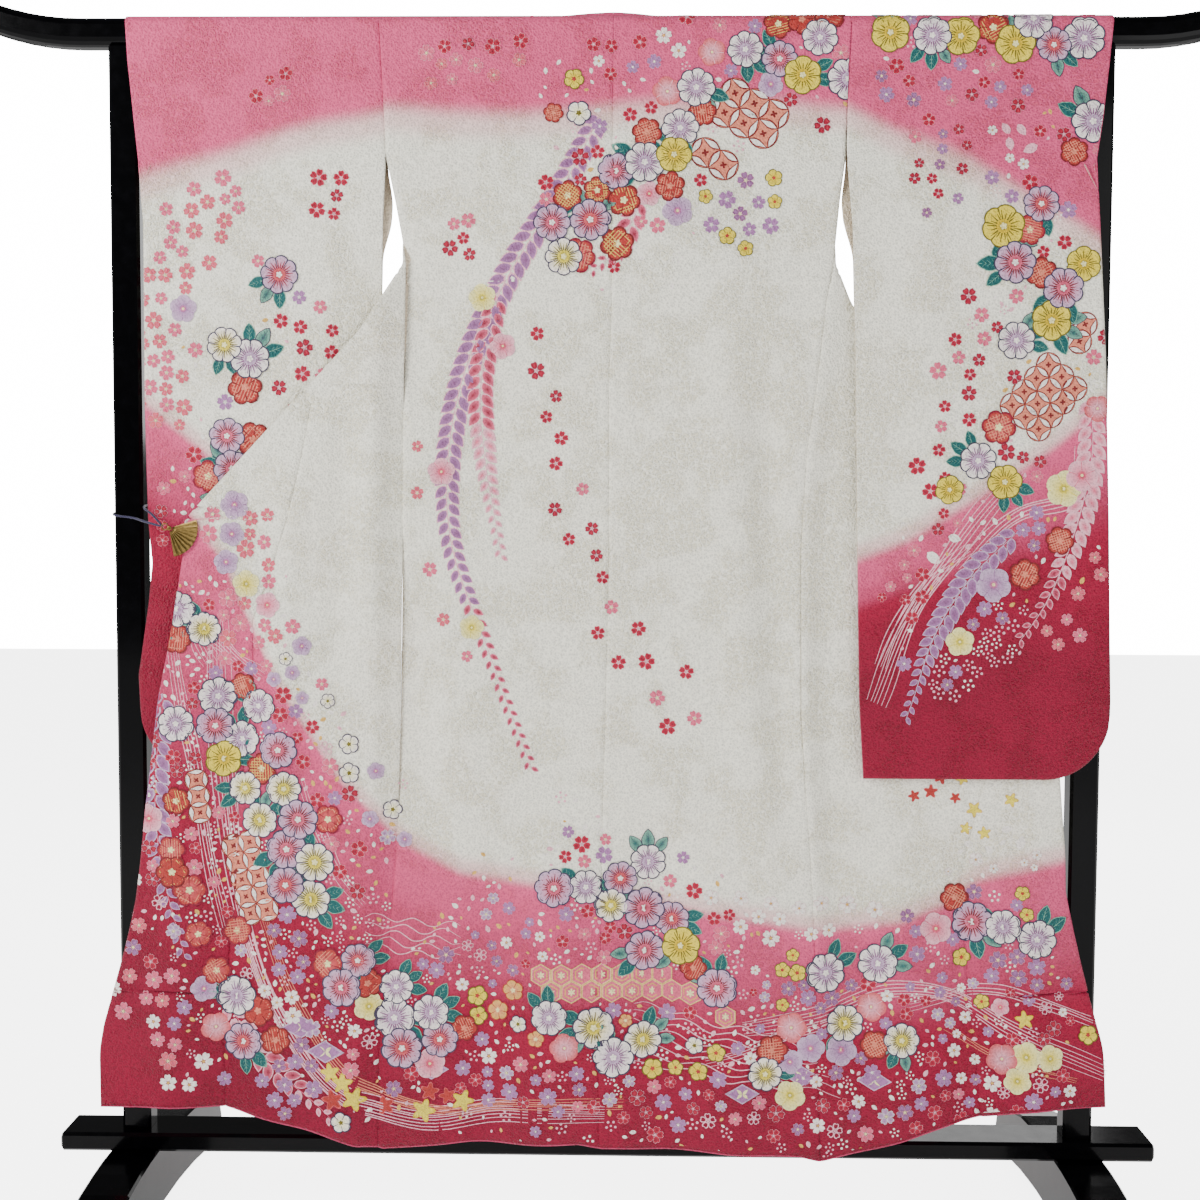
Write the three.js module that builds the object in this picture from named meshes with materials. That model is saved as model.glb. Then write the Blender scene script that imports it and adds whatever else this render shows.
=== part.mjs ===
// Furisode kimono hung over a lacquered kimono stand. Millimetres, +Z up, the floor is z = 0.
// +X is the right of the garment's back as it faces -Y; the wearer's front faces +Y.
// Every cloth piece is a thin wall: a grid of points on the middle of the cloth, moved half a
// wall each way along the cloth's own normal and closed at its edges.
import * as THREE from "three";

// ---- driving dimensions -------------------------------------------------------------------
const WALL = 2;                  // thickness of a lined silk panel
const GAP = 0.3;                 // clearance between pieces that touch
const SEAM = 0.5;                // half the gap at the okumi and collar seams, which run over folds
const CLOTH_LIFT = GAP + WALL / 2;   // middle of a panel that rests on the bar
const HEM_Z = 120;               // mean height of the hem
const SHOULDER_Z = 1668;         // where the back turns over the bar

const BAR = {
  bottom: 1638, height: 39, halfDepth: 18, corner: 11, flatHalf: 720, tipHalf: 890, rise: 0.00144,
};
const POST = { x: 661, halfWidth: 20, halfDepth: 17, chamfer: 4, bottom: 136.3 };
const BEAM = { halfLength: 763, halfDepth: 34, bottom: 110, top: 136, chamfer: 4 };
const FOOT = { x: 661, halfWidth: 34, chamfer: 3 };

const SLEEVE = { bottomZ: 644, cornerRadius: 90, wristZ: 1474, seamEndZ: 1487 };
const COLLAR = { width: 56, endZ: 920, neckHalf: 76, lift: 5 };
const SLIT_Z = 1345;             // bottom of the armpit slit, top of the side seam
const FOLD_RADIUS = 4;

// ---- section tables -----------------------------------------------------------------------
// Edges of the two back panels by height: centre seam, left side seam, right side seam.
const BACK_SECTIONS = [
  { z: 1668, centre: 6, left: -311, right: 325 },
  { z: 1487, centre: 5, left: -301, right: 319 },
  { z: 1427, centre: 5, left: -288, right: 311 },
  { z: 1345, centre: 5, left: -274, right: 303 },
  { z: 1292, centre: 5, left: -275, right: 294 },
  { z: 1185, centre: 2, left: -277, right: 283 },
  { z: 1093, centre: 2, left: -278, right: 271 },
  { z: 957, centre: 3, left: -279, right: 264 },
  { z: 725, centre: -1, left: -282, right: 267 },
  { z: 614, centre: -4, left: -285, right: 275 },
  { z: 518, centre: -5, left: -290, right: 282 },
  { z: 400, centre: -6, left: -299, right: 289 },
  { z: 250, centre: -9, left: -313, right: 294 },
  { z: 120, centre: -8, left: -315, right: 299 },
];

// Fronts by height, as distances along the cloth from the side seam: the okumi seam, the free
// edge of the okumi, and how far out the front reaches before it folds back behind itself.
const LEFT_FRONT = [
  { z: 1668, seam: 235, edge: 235, fold: 3 },
  { z: 1345, seam: 235, edge: 235, fold: 3 },
  { z: 1297, seam: 225, edge: 231, fold: 31 },
  { z: 1253, seam: 200, edge: 220, fold: 59 },
  { z: 1200, seam: 165, edge: 210, fold: 107 },
  { z: 1153, seam: 124, edge: 204, fold: 151 },
  { z: 1079, seam: 136, edge: 251, fold: 219 },
  { z: 1002, seam: 153, edge: 303, fold: 290 },
  { z: 920, seam: 178, edge: 345, fold: 302 },
  { z: 858, seam: 201, edge: 372, fold: 311 },
  { z: 749, seam: 201, edge: 378, fold: 331 },
  { z: 610, seam: 219, edge: 389, fold: 345 },
  { z: 470, seam: 219, edge: 389, fold: 353 },
  { z: 371, seam: 218, edge: 388, fold: 365 },
  { z: 120, seam: 211, edge: 382, fold: 395 },
];
const RIGHT_FRONT = [
  { z: 1668, seam: 235, edge: 235, fold: 3 },
  { z: 1345, seam: 235, edge: 235, fold: 3 },
  { z: 1297, seam: 235, edge: 241, fold: 32 },
  { z: 1253, seam: 235, edge: 255, fold: 62 },
  { z: 1200, seam: 235, edge: 278, fold: 112 },
  { z: 1153, seam: 235, edge: 302, fold: 160 },
  { z: 1079, seam: 235, edge: 335, fold: 212 },
  { z: 1002, seam: 235, edge: 365, fold: 297 },
  { z: 920, seam: 235, edge: 398, fold: 312 },
  { z: 858, seam: 236, edge: 400, fold: 325 },
  { z: 749, seam: 242, edge: 400, fold: 340 },
  { z: 643, seam: 248, edge: 398, fold: 351 },
  { z: 545, seam: 217, edge: 392, fold: 352 },
  { z: 489, seam: 205, edge: 389, fold: 350 },
  { z: 391, seam: 209, edge: 389, fold: 363 },
  { z: 120, seam: 221, edge: 391, fold: 405 },
];

// Height of the hem along the whole spread garment.
const HEM = [
  { x: -697, z: 185 }, { x: -526, z: 185 }, { x: -454, z: 164 }, { x: -344, z: 131 },
  { x: -307, z: 125 }, { x: -195, z: 133 }, { x: -36, z: 135 }, { x: -6, z: 128 },
  { x: 150, z: 124 }, { x: 271, z: 119 }, { x: 299, z: 113 }, { x: 373, z: 132 },
  { x: 516, z: 177 }, { x: 607, z: 189 }, { x: 690, z: 194 },
];

// Inner (open) and outer edges of the sleeves by height.
const LEFT_SLEEVE = [
  { z: 1668, inner: -311, outer: -656 }, { z: 1614, inner: -308, outer: -653 },
  { z: 1541, inner: -304, outer: -645 }, { z: 1474, inner: -301, outer: -637 },
  { z: 1401, inner: -304, outer: -631 }, { z: 1158, inner: -311, outer: -632 },
  { z: 995, inner: -313, outer: -629 }, { z: 936, inner: -314, outer: -624 },
  { z: 879, inner: -315, outer: -630 }, { z: 781, inner: -316, outer: -645 },
  { z: 644, inner: -318, outer: -640 },
];
const RIGHT_SLEEVE = [
  { z: 1668, inner: 325, outer: 676 }, { z: 1610, inner: 323, outer: 671 },
  { z: 1541, inner: 321, outer: 663 }, { z: 1474, inner: 320, outer: 652 },
  { z: 1389, inner: 327, outer: 658 }, { z: 1220, inner: 333, outer: 669 },
  { z: 1004, inner: 338, outer: 678 }, { z: 753, inner: 345, outer: 686 },
  { z: 644, inner: 352, outer: 684 },
];
// The far edge of a wrist opening passes inside the post, then comes out in front of it.
const WRIST_FAR_EDGE = [
  { z: 1645, pull: 0 }, { z: 1600, pull: 20 }, { z: 1560, pull: 30 },
  { z: 1510, pull: 27 }, { z: 1474, pull: 15 }, { z: 1440, pull: 0 },
];

// Soft folds: centre x at the top and bottom, heights they run between, depth (towards +Y for
// a trough, towards -Y for a ridge) and half-width.
const BACK_FOLDS = [
  { xTop: -286, xBottom: -255, top: 1440, bottom: 1130, depth: 5, width: 30 },
  { xTop: -230, xBottom: -180, top: 1480, bottom: 960, depth: 3, width: 38 },
  { xTop: -262, xBottom: -258, top: 1000, bottom: 560, depth: 4, width: 30 },
  { xTop: -190, xBottom: -200, top: 900, bottom: 420, depth: -4, width: 45 },
  { xTop: -150, xBottom: -170, top: 560, bottom: 90, depth: 5, width: 42 },
  { xTop: -60, xBottom: -85, top: 620, bottom: 90, depth: -5, width: 50 },
  { xTop: 150, xBottom: 225, top: 1450, bottom: 420, depth: -4, width: 34 },
  { xTop: 205, xBottom: 245, top: 1250, bottom: 520, depth: 6, width: 26 },
  { xTop: 60, xBottom: 95, top: 640, bottom: 90, depth: 5, width: 46 },
  { xTop: 160, xBottom: 185, top: 520, bottom: 90, depth: -4, width: 44 },
];
const LEFT_FRONT_FOLDS = [
  { xTop: -350, xBottom: -372, top: 1230, bottom: 700, depth: 4, width: 20 },
  { xTop: -318, xBottom: -325, top: 1260, bottom: 800, depth: -4, width: 20 },
  { xTop: -425, xBottom: -455, top: 1120, bottom: 560, depth: -4, width: 26 },
  { xTop: -505, xBottom: -520, top: 900, bottom: 90, depth: 5, width: 30 },
  { xTop: -590, xBottom: -600, top: 860, bottom: 90, depth: -4, width: 32 },
  { xTop: -400, xBottom: -415, top: 600, bottom: 90, depth: 5, width: 36 },
];
const RIGHT_FRONT_FOLDS = [
  { xTop: 400, xBottom: 410, top: 620, bottom: 90, depth: -5, width: 36 },
  { xTop: 490, xBottom: 505, top: 620, bottom: 90, depth: 4, width: 26 },
  { xTop: 585, xBottom: 600, top: 620, bottom: 90, depth: -5, width: 34 },
];
const SLEEVE_FOLDS = [
  { share: 0.3, top: 1560, bottom: 760, depth: -2.5, width: 40 },
  { share: 0.62, top: 1500, bottom: 800, depth: 2, width: 46 },
];

// ---- small helpers ------------------------------------------------------------------------
const clamp01 = (t) => Math.min(1, Math.max(0, t));
const mix = (a, b, t) => a + (b - a) * t;
const smooth = (t) => { const c = clamp01(t); return c * c * (3 - 2 * c); };

// Reads a column of a table at a height (or any other key), with soft turns at the rows.
function lookup(table, column, at, key = "z") {
  const rows = [...table].sort((a, b) => a[key] - b[key]);
  if (at <= rows[0][key]) return rows[0][column];
  const next = rows.findIndex((row) => row[key] >= at);
  if (next < 0) return rows[rows.length - 1][column];
  const low = rows[next - 1];
  const high = rows[next];
  return mix(low[column], high[column], (at - low[key]) / (high[key] - low[key]));
}

function foldDepth(folds, x, z) {
  return folds.reduce((sum, fold) => {
    const t = (fold.top - z) / (fold.top - fold.bottom);
    if (t < 0 || t > 1) return sum;
    const centre = mix(fold.xTop, fold.xBottom, t);
    const ends = smooth(t * 4) * smooth((1 - t) * 4 + (fold.bottom < HEM_Z ? 1 : 0));
    return sum + fold.depth * ends * Math.exp(-(((x - centre) / fold.width) ** 2));
  }, 0);
}

// Moves a row that belongs to the straight hem onto the wavy one, fading out upwards.
function hemHeight(x, z) {
  const share = 1 - smooth((z - HEM_Z) / 380);
  return z + (lookup(HEM, "z", x, "x") - HEM_Z) * share;
}

// ---- meshes -------------------------------------------------------------------------------
function meshFrom(name, vertices, triangles, material) {
  const geometry = new THREE.BufferGeometry();
  geometry.setAttribute("position", new THREE.Float32BufferAttribute(vertices.flat(), 3));
  geometry.setIndex(triangles.flat());
  let volume = 0;
  for (const [a, b, c] of triangles) {
    const [p, q, r] = [vertices[a], vertices[b], vertices[c]].map((v) => new THREE.Vector3(...v));
    volume += p.dot(q.cross(r)) / 6;
  }
  if (volume < 0) geometry.setIndex(triangles.map(([a, b, c]) => [a, c, b]).flat());
  geometry.computeVertexNormals();
  const mesh = new THREE.Mesh(geometry, material);
  mesh.name = name;
  return mesh;
}

// Normals of a grid of points; rows may close on themselves.
function gridNormals(rows, wrap) {
  const count = rows.length;
  return rows.map((row, i) => row.map((_, j) => {
    const above = wrap ? (i + 1) % count : Math.min(i + 1, count - 1);
    const below = wrap ? (i + count - 1) % count : Math.max(i - 1, 0);
    const along = new THREE.Vector3(...rows[above][j]).sub(new THREE.Vector3(...rows[below][j]));
    const across = new THREE.Vector3(...row[Math.min(j + 1, row.length - 1)])
      .sub(new THREE.Vector3(...row[Math.max(j - 1, 0)]));
    return across.cross(along).normalize();
  }));
}

function offsetGrid(rows, normals, distance) {
  return rows.map((row, i) => row.map((point, j) => [
    point[0] + normals[i][j].x * distance,
    point[1] + normals[i][j].y * distance,
    point[2] + normals[i][j].z * distance,
  ]));
}

// A wall of cloth from a grid of middle points, closed round its four edges. Rows that come with
// their own normals keep them, so that two pieces sewn over a fold stay edge to edge.
function clothWall(name, rows, material, rowNormals = []) {
  const thickness = WALL;
  const normals = gridNormals(rows, false).map((row, i) => rowNormals[i] ?? row);
  const faces = [offsetGrid(rows, normals, thickness / 2), offsetGrid(rows, normals, -thickness / 2)];
  const wide = rows[0].length;
  const tall = rows.length;
  const vertices = faces.flat(2);
  const id = (face, i, j) => face * wide * tall + i * wide + j;
  const triangles = [];
  const quad = (a, b, c, d) => triangles.push([a, b, c], [a, c, d]);
  for (let i = 0; i + 1 < tall; i++) {
    for (let j = 0; j + 1 < wide; j++) {
      quad(id(0, i, j), id(0, i, j + 1), id(0, i + 1, j + 1), id(0, i + 1, j));
      quad(id(1, i, j), id(1, i + 1, j), id(1, i + 1, j + 1), id(1, i, j + 1));
    }
    quad(id(0, i, 0), id(0, i + 1, 0), id(1, i + 1, 0), id(1, i, 0));
    quad(id(0, i + 1, wide - 1), id(0, i, wide - 1), id(1, i, wide - 1), id(1, i + 1, wide - 1));
  }
  for (let j = 0; j + 1 < wide; j++) {
    quad(id(0, 0, j + 1), id(0, 0, j), id(1, 0, j), id(1, 0, j + 1));
    quad(id(0, tall - 1, j), id(0, tall - 1, j + 1), id(1, tall - 1, j + 1), id(1, tall - 1, j));
  }
  return meshFrom(name, vertices, triangles, material);
}

// A solid from rings of points: each ring is a closed section, capped at the first and last.
function ringSolid(name, rings, material, closed = false) {
  const count = rings[0].length;
  const vertices = rings.flat();
  const triangles = [];
  const last = closed ? rings.length : rings.length - 1;
  for (let i = 0; i < last; i++) {
    const next = (i + 1) % rings.length;
    for (let j = 0; j < count; j++) {
      const k = (j + 1) % count;
      triangles.push([i * count + j, next * count + j, next * count + k]);
      triangles.push([i * count + j, next * count + k, i * count + k]);
    }
  }
  if (!closed) {
    const end = (rings.length - 1) * count;
    for (let j = 1; j + 1 < count; j++) {
      triangles.push([0, j, j + 1]);
      triangles.push([end, end + j + 1, end + j]);
    }
  }
  return meshFrom(name, vertices, triangles, material);
}

// ---- materials ----------------------------------------------------------------------------
const finish = (color, roughness, metalness = 0) =>
  new THREE.MeshStandardMaterial({ color, roughness, metalness });
const silk = finish("#d9cfc4", 0.55);
const pinkSilk = finish("#cf8799", 0.55);
const lacquer = finish("#08080a", 0.12);
const brass = finish("#a8843c", 0.4, 1);
const cordSilk = finish("#2b2350", 0.7);

// ---- the stand ----------------------------------------------------------------------------
const barRise = (x) => BAR.rise * Math.max(0, Math.abs(x) - BAR.flatHalf) ** 2;

// Section of the top bar: a bar with rounded corners.
function barSection() {
  const { halfDepth, height, corner } = BAR;
  const points = [];
  const corners = [
    { y: halfDepth - corner, z: height - corner, from: 0 },
    { y: corner - halfDepth, z: height - corner, from: Math.PI / 2 },
    { y: corner - halfDepth, z: corner, from: Math.PI },
    { y: halfDepth - corner, z: corner, from: 1.5 * Math.PI },
  ];
  for (const { y, z, from } of corners) {
    for (let k = 0; k <= 3; k++) {
      const angle = from + (k / 3) * (Math.PI / 2);
      points.push([y + corner * Math.cos(angle), z + corner * Math.sin(angle)]);
    }
  }
  return points;
}

function topBar() {
  const stations = [];
  const steps = 7;
  for (let k = steps; k >= 0; k--) stations.push(-mix(BAR.flatHalf, BAR.tipHalf, k / steps));
  for (let k = 0; k <= steps; k++) stations.push(mix(BAR.flatHalf, BAR.tipHalf, k / steps));
  const rings = stations.map((x) => barSection().map(([y, z]) => [x, y, BAR.bottom + z + barRise(x)]));
  return ringSolid("stand_top_bar", rings, lacquer);
}

// A square bar with chamfered arrises, standing or lying between two ends.
function chamferedRing(halfA, halfB, chamfer) {
  return [
    [halfA, halfB - chamfer], [halfA - chamfer, halfB], [chamfer - halfA, halfB], [-halfA, halfB - chamfer],
    [-halfA, chamfer - halfB], [chamfer - halfA, -halfB], [halfA - chamfer, -halfB], [halfA, chamfer - halfB],
  ];
}

function post(side) {
  const section = chamferedRing(POST.halfWidth, POST.halfDepth, POST.chamfer);
  const ring = (z) => section.map(([x, y]) => [side * POST.x + x, y, z]);
  const name = side < 0 ? "stand_post_left" : "stand_post_right";
  return ringSolid(name, [ring(POST.bottom), ring(BAR.bottom - GAP)], lacquer);
}

function baseBeam() {
  const middle = (BEAM.bottom + BEAM.top) / 2;
  const half = (BEAM.top - BEAM.bottom) / 2;
  const ring = (x, inset) => chamferedRing(BEAM.halfDepth - inset, half - inset, BEAM.chamfer)
    .map(([y, z]) => [x, y, middle + z]);
  const end = BEAM.halfLength;
  const inset = 3;
  return ringSolid("stand_base_beam",
    [ring(-end, inset), ring(inset - end, 0), ring(end - inset, 0), ring(end, inset)], lacquer);
}

// Foot profile: rounded ends, a crown under the beam and a shallow arch over the floor.
const FOOT_PROFILE = [
  { y: 0, top: 109.7, under: 27 }, { y: 60, top: 109.7, under: 26 }, { y: 100, top: 107, under: 23 },
  { y: 150, top: 101, under: 18 }, { y: 200, top: 88, under: 10 }, { y: 235, top: 75, under: 3 },
  { y: 252, top: 69, under: 0 }, { y: 280, top: 58, under: 0 }, { y: 294, top: 46, under: 0 },
  { y: 300, top: 30, under: 8 },
];

function foot(side) {
  const name = side < 0 ? "stand_foot_left" : "stand_foot_right";
  const stations = [...FOOT_PROFILE].reverse().map((row) => ({ ...row, y: -row.y }))
    .concat(FOOT_PROFILE.slice(1));
  const { halfWidth: half, chamfer } = FOOT;
  const rings = stations.map(({ y, top, under }) => [
    [half, top - chamfer], [half - chamfer, top], [chamfer - half, top], [-half, top - chamfer],
    [-half, under], [half, under],
  ].map(([x, z]) => [side * FOOT.x + x, y, z]));
  return ringSolid(name, rings, lacquer);
}

// ---- how the cloth hangs in depth -----------------------------------------------------------
// Depth of the back panels, from close on the bar to in front of the base beam at the hem.
const backDepth = (z) => -(BAR.halfDepth + CLOTH_LIFT)
  - 12 * smooth((BAR.bottom - z) / 300) - 13 * clamp01((BAR.bottom - z) / 1500);
// Depth of the layers that hang on the far side of the bar and drift forward lower down.
const farDepth = (z) => BAR.halfDepth + CLOTH_LIFT - 31 * smooth((BAR.bottom - z) / 300);

const BAR_SHOULDER = BAR.bottom + BAR.height - BAR.corner;   // where the cloth leaves the flat faces

// Lengths of a path over the bar, `lift` clear of it: one rounded corner, and the whole way over.
const cornerLength = (lift) => (Math.PI / 2) * (BAR.corner + lift);
const overLength = (lift) => 2 * cornerLength(lift) + 2 * (BAR.halfDepth - BAR.corner);

// A point of that path, `length` from where it leaves the near face; past the far corner it
// goes on straight down the far face.
function overBar(length, lift) {
  const reach = BAR.halfDepth + lift;
  const radius = BAR.corner + lift;
  const top = BAR.bottom + BAR.height + lift;
  const quarter = cornerLength(lift);
  const total = overLength(lift);
  if (length < quarter) {
    const a = length / radius;
    return [radius - reach - radius * Math.cos(a), top - radius + radius * Math.sin(a)];
  }
  if (length < total - quarter) return [radius - reach + (length - quarter), top];
  if (length > total) return [reach, BAR_SHOULDER - (length - total)];
  const a = (length - total + quarter) / radius;
  return [reach - radius + radius * Math.sin(a), top - radius + radius * Math.cos(a)];
}

// Lengths at which cloth bends on that path: four steps round each corner of the bar.
function overSteps(lift) {
  const quarter = cornerLength(lift);
  const turn = [0, 1, 2, 3, 4].map((k) => (k * quarter) / 4);
  return [...turn, ...turn.map((length) => length + overLength(lift) - quarter)];
}

const SIDES = {
  left: { name: "left", sign: -1, front: LEFT_FRONT, folds: LEFT_FRONT_FOLDS, sleeve: LEFT_SLEEVE },
  right: { name: "right", sign: 1, front: RIGHT_FRONT, folds: RIGHT_FRONT_FOLDS, sleeve: RIGHT_SLEEVE },
};

// Depth of the part of a front that is spread outwards: the left one lies before its sleeve,
// the right one behind its sleeve.
function spreadDepth(side, out, z) {
  const seam = backDepth(z);
  const away = side.sign < 0
    ? seam - 12
    : -27 - 6 * smooth((650 - z) / 350) - 10 * smooth((300 - z) / 130);
  return mix(seam, away, smooth(out / 38));
}

// A point of a front, `s` along the cloth from the side seam, at height z.
function frontPoint(side, s, z) {
  const sideX = lookup(BACK_SECTIONS, side.name, z);
  const reach = lookup(side.front, "fold", z);
  const radius = Math.min(FOLD_RADIUS, reach * 0.9);
  const straight = reach - radius;
  let out = s;
  let turned = 0;
  if (s > straight + Math.PI * radius) {
    out = straight - (s - straight - Math.PI * radius);
    turned = 1;
  } else if (s > straight) {
    const angle = (s - straight) / radius;
    out = straight + radius * Math.sin(angle);
    turned = (1 - Math.cos(angle)) / 2;
  }
  const x = sideX + side.sign * out;
  const near = spreadDepth(side, out, z) + foldDepth(side.folds, x, z) * (out > 0 ? 1 : 0);
  const sag = out < 0 ? (1 - Math.exp(out / 30)) * (farDepth(z) - backDepth(z) - 2 * radius - 4) : 0;
  const back = spreadDepth(side, Math.max(out, 0), z) + 2 * radius + Math.max(0, sag);
  const folded = [x, mix(near, back, turned)];
  // Above the side seam the front hangs straight down the far side of the bar.
  const open = smooth((z - SLIT_Z) / 60);
  const hung = [sideX - side.sign * s, farDepth(z)];
  return [mix(folded[0], hung[0], open), mix(folded[1], hung[1], open)];
}

// A row of a front piece, with the cloth's normals; `facing` is 1 or -1 as the grid runs.
function frontRow(side, places, z, facing) {
  const at = (s, height) => {
    const [x, y] = frontPoint(side, s, height);
    return new THREE.Vector3(x, y, hemHeight(x, height));
  };
  const stepS = 2;
  const stepZ = 8;
  return {
    points: places.map((s) => at(s, z).toArray()),
    normals: places.map((s) => at(s + stepS, z).sub(at(s - stepS, z))
      .cross(at(s, z + stepZ).sub(at(s, z - stepZ))).normalize().multiplyScalar(facing)),
  };
}

// Places along the cloth for one row of a front piece: even, with three of them on the turn
// where the row folds back.
function frontPlaces(side, from, to, z, count) {
  const reach = lookup(side.front, "fold", z);
  const radius = Math.min(FOLD_RADIUS, reach * 0.9);
  const start = reach - radius;
  const end = start + Math.PI * radius;
  const step = Math.abs(to - from) / count;
  const steps = [...Array(count + 1).keys()];
  if (start < from + step / 2 || end > to - step / 2) return steps.map((k) => mix(from, to, k / count));
  const first = Math.min(count - 3, Math.max(1, Math.round((count * (start - from)) / (to - from))));
  const last = first + 2;
  return steps.map((k) => {
    if (k <= first) return mix(from, start, k / first);
    if (k <= last) return mix(start, end, (k - first) / 2);
    return mix(end, to, (k - last) / (count - last));
  });
}

// ---- body panels ----------------------------------------------------------------------------
const BACK_ROWS = [
  120, 170, 230, 300, 380, 470, 560, 660, 760, 870, 980, 1090, 1200, 1290, 1345, 1420, 1487, 1560, 1625,
];
const FRONT_ROWS = [
  1625, 1560, 1487, 1440, 1400, 1370, 1345, 1322, 1297, 1275, 1253, 1226, 1200, 1176, 1153, 1116, 1079,
  1040, 1002, 961, 920, 858, 800, 749, 680, 610, 545, 489, 430, 371, 300, 230, 170, 120,
];
const BODY_COLUMNS = 12;

// One body panel is a single length of cloth: up the back, over the shoulder, down the front.
function bodyPanel(side) {
  const rows = [];
  const normals = [];
  const across = (k) => k / BODY_COLUMNS;
  const columns = [...Array(BODY_COLUMNS + 1).keys()];
  for (const z of BACK_ROWS) {
    const centre = lookup(BACK_SECTIONS, "centre", z) + side.sign * GAP / 2;
    const edge = lookup(BACK_SECTIONS, side.name, z) - side.sign * GAP / 2;
    rows.push(columns.map((k) => {
      const x = mix(centre, edge, across(k));
      return [x, backDepth(z) + foldDepth(BACK_FOLDS, x, z), hemHeight(x, z)];
    }));
  }
  for (const length of overSteps(CLOTH_LIFT)) {
    const [y, z] = overBar(length, CLOTH_LIFT);
    const middle = lookup(BACK_SECTIONS, "centre", SHOULDER_Z) + side.sign * GAP / 2;
    // The neck is cut away from just behind the top of the bar to the collar's edge.
    const cut = smooth((length / overLength(CLOTH_LIFT) - 0.35) / 0.4);
    const inner = mix(middle, side.sign * COLLAR.neckHalf, cut);
    const edge = lookup(BACK_SECTIONS, side.name, SHOULDER_Z) - side.sign * GAP / 2;
    rows.push(columns.map((k) => [mix(inner, edge, across(k)), y, z]));
  }
  for (const z of FRONT_ROWS) {
    const seam = lookup(side.front, "seam", z) - SEAM;
    const row = frontRow(side, frontPlaces(side, GAP / 2, seam, z, BODY_COLUMNS).reverse(), z, 1);
    normals[rows.length] = row.normals;
    rows.push(row.points);
  }
  return clothWall(`body_${side.name}`, rows, silk, normals);
}

// ---- okumi: the overlap panel sewn to the front edge of a body panel --------------------------
const OKUMI_COLUMNS = 8;

function okumi(side) {
  const rows = FRONT_ROWS.filter((z) => z <= 1297).map((z) => {
    const from = lookup(side.front, "seam", z) + SEAM;
    const to = lookup(side.front, "edge", z) - SEAM;
    return frontRow(side, frontPlaces(side, from, to, z, OKUMI_COLUMNS), z, -1);
  });
  return clothWall(`okumi_${side.name}`, rows.map((row) => row.points), silk, rows.map((row) => row.normals));
}

// ---- collar: one band up the left front edge, round the back of the neck and down the right ---
const NECK_STEPS = 10;

function collar() {
  const columns = 6;
  const edgeRow = (side, z, facing) => {
    const from = lookup(side.front, "edge", z) + SEAM;
    return frontRow(side, frontPlaces(side, from, from + COLLAR.width, z, columns), z, facing);
  };
  const heights = FRONT_ROWS.filter((z) => z >= COLLAR.endZ);
  const lift = CLOTH_LIFT + WALL + 8 * GAP;
  // Across the neck the band turns from the front edges to lie over the top of the bar.
  const total = overLength(lift);
  const neckRow = (turn) => {
    const along = Math.min(1, Math.abs(turn) * 2);      // sideways over the top of the bar
    const down = Math.max(0, Math.abs(turn) * 2 - 1);   // then down its far face
    const middle = lookup(BACK_SECTIONS, "centre", SHOULDER_Z) * (1 - along);
    const side = Math.sign(turn) * along;
    return [...Array(columns + 1).keys()].map((k) => {
      const t = k / columns;
      const sewn = mix(mix(0.36, 0.44, along) * total, total + 36, down);
      const [y, z] = overBar(mix(sewn, total + 36, t), lift);
      const x = middle + side * mix(COLLAR.neckHalf - 4 + 2 * down, COLLAR.neckHalf - COLLAR.width, t);
      return [x, y, z + COLLAR.lift * (1 - along ** 2) * (1 - t) ** 2];
    });
  };
  const up = [...heights].reverse().map((z) => edgeRow(SIDES.left, z, 1));
  const down = heights.map((z) => edgeRow(SIDES.right, z, -1));
  const neck = [...Array(2 * NECK_STEPS - 1).keys()].map((k) => neckRow((k + 1) / NECK_STEPS - 1));
  const rows = [...up.map((row) => row.points), ...neck, ...down.map((row) => row.points)];
  const normals = [
    ...up.map((row) => row.normals), ...neck.map(() => undefined), ...down.map((row) => row.normals),
  ];
  return clothWall("collar", rows, pinkSilk, normals);
}

// ---- sleeves --------------------------------------------------------------------------------
const SLEEVE_COLUMNS = 9;
const SLEEVE_HEIGHTS = [
  BAR_SHOULDER, 1630, 1595, 1560, 1525, 1500, SLEEVE.wristZ, 1440, 1400, 1350, 1290, 1220, 1140,
  1060, 980, 900, 820, 735, SLEEVE.bottomZ + 4,
];
const SLEEVE_ROWS = SLEEVE_HEIGHTS.length - 1;
const CURVED_BELOW = 900;        // rows under this height follow the rounded bottom corner
const WRIST_DEPTH = -22;         // the far layer where the wrist opening ends, just before the post
const SLEEVE_DEPTH = {
  left: { near: -31.5, far: -26.5, openEdge: 4.5 },
  right: { near: -40, far: -34.5, openEdge: 0 },
};

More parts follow.
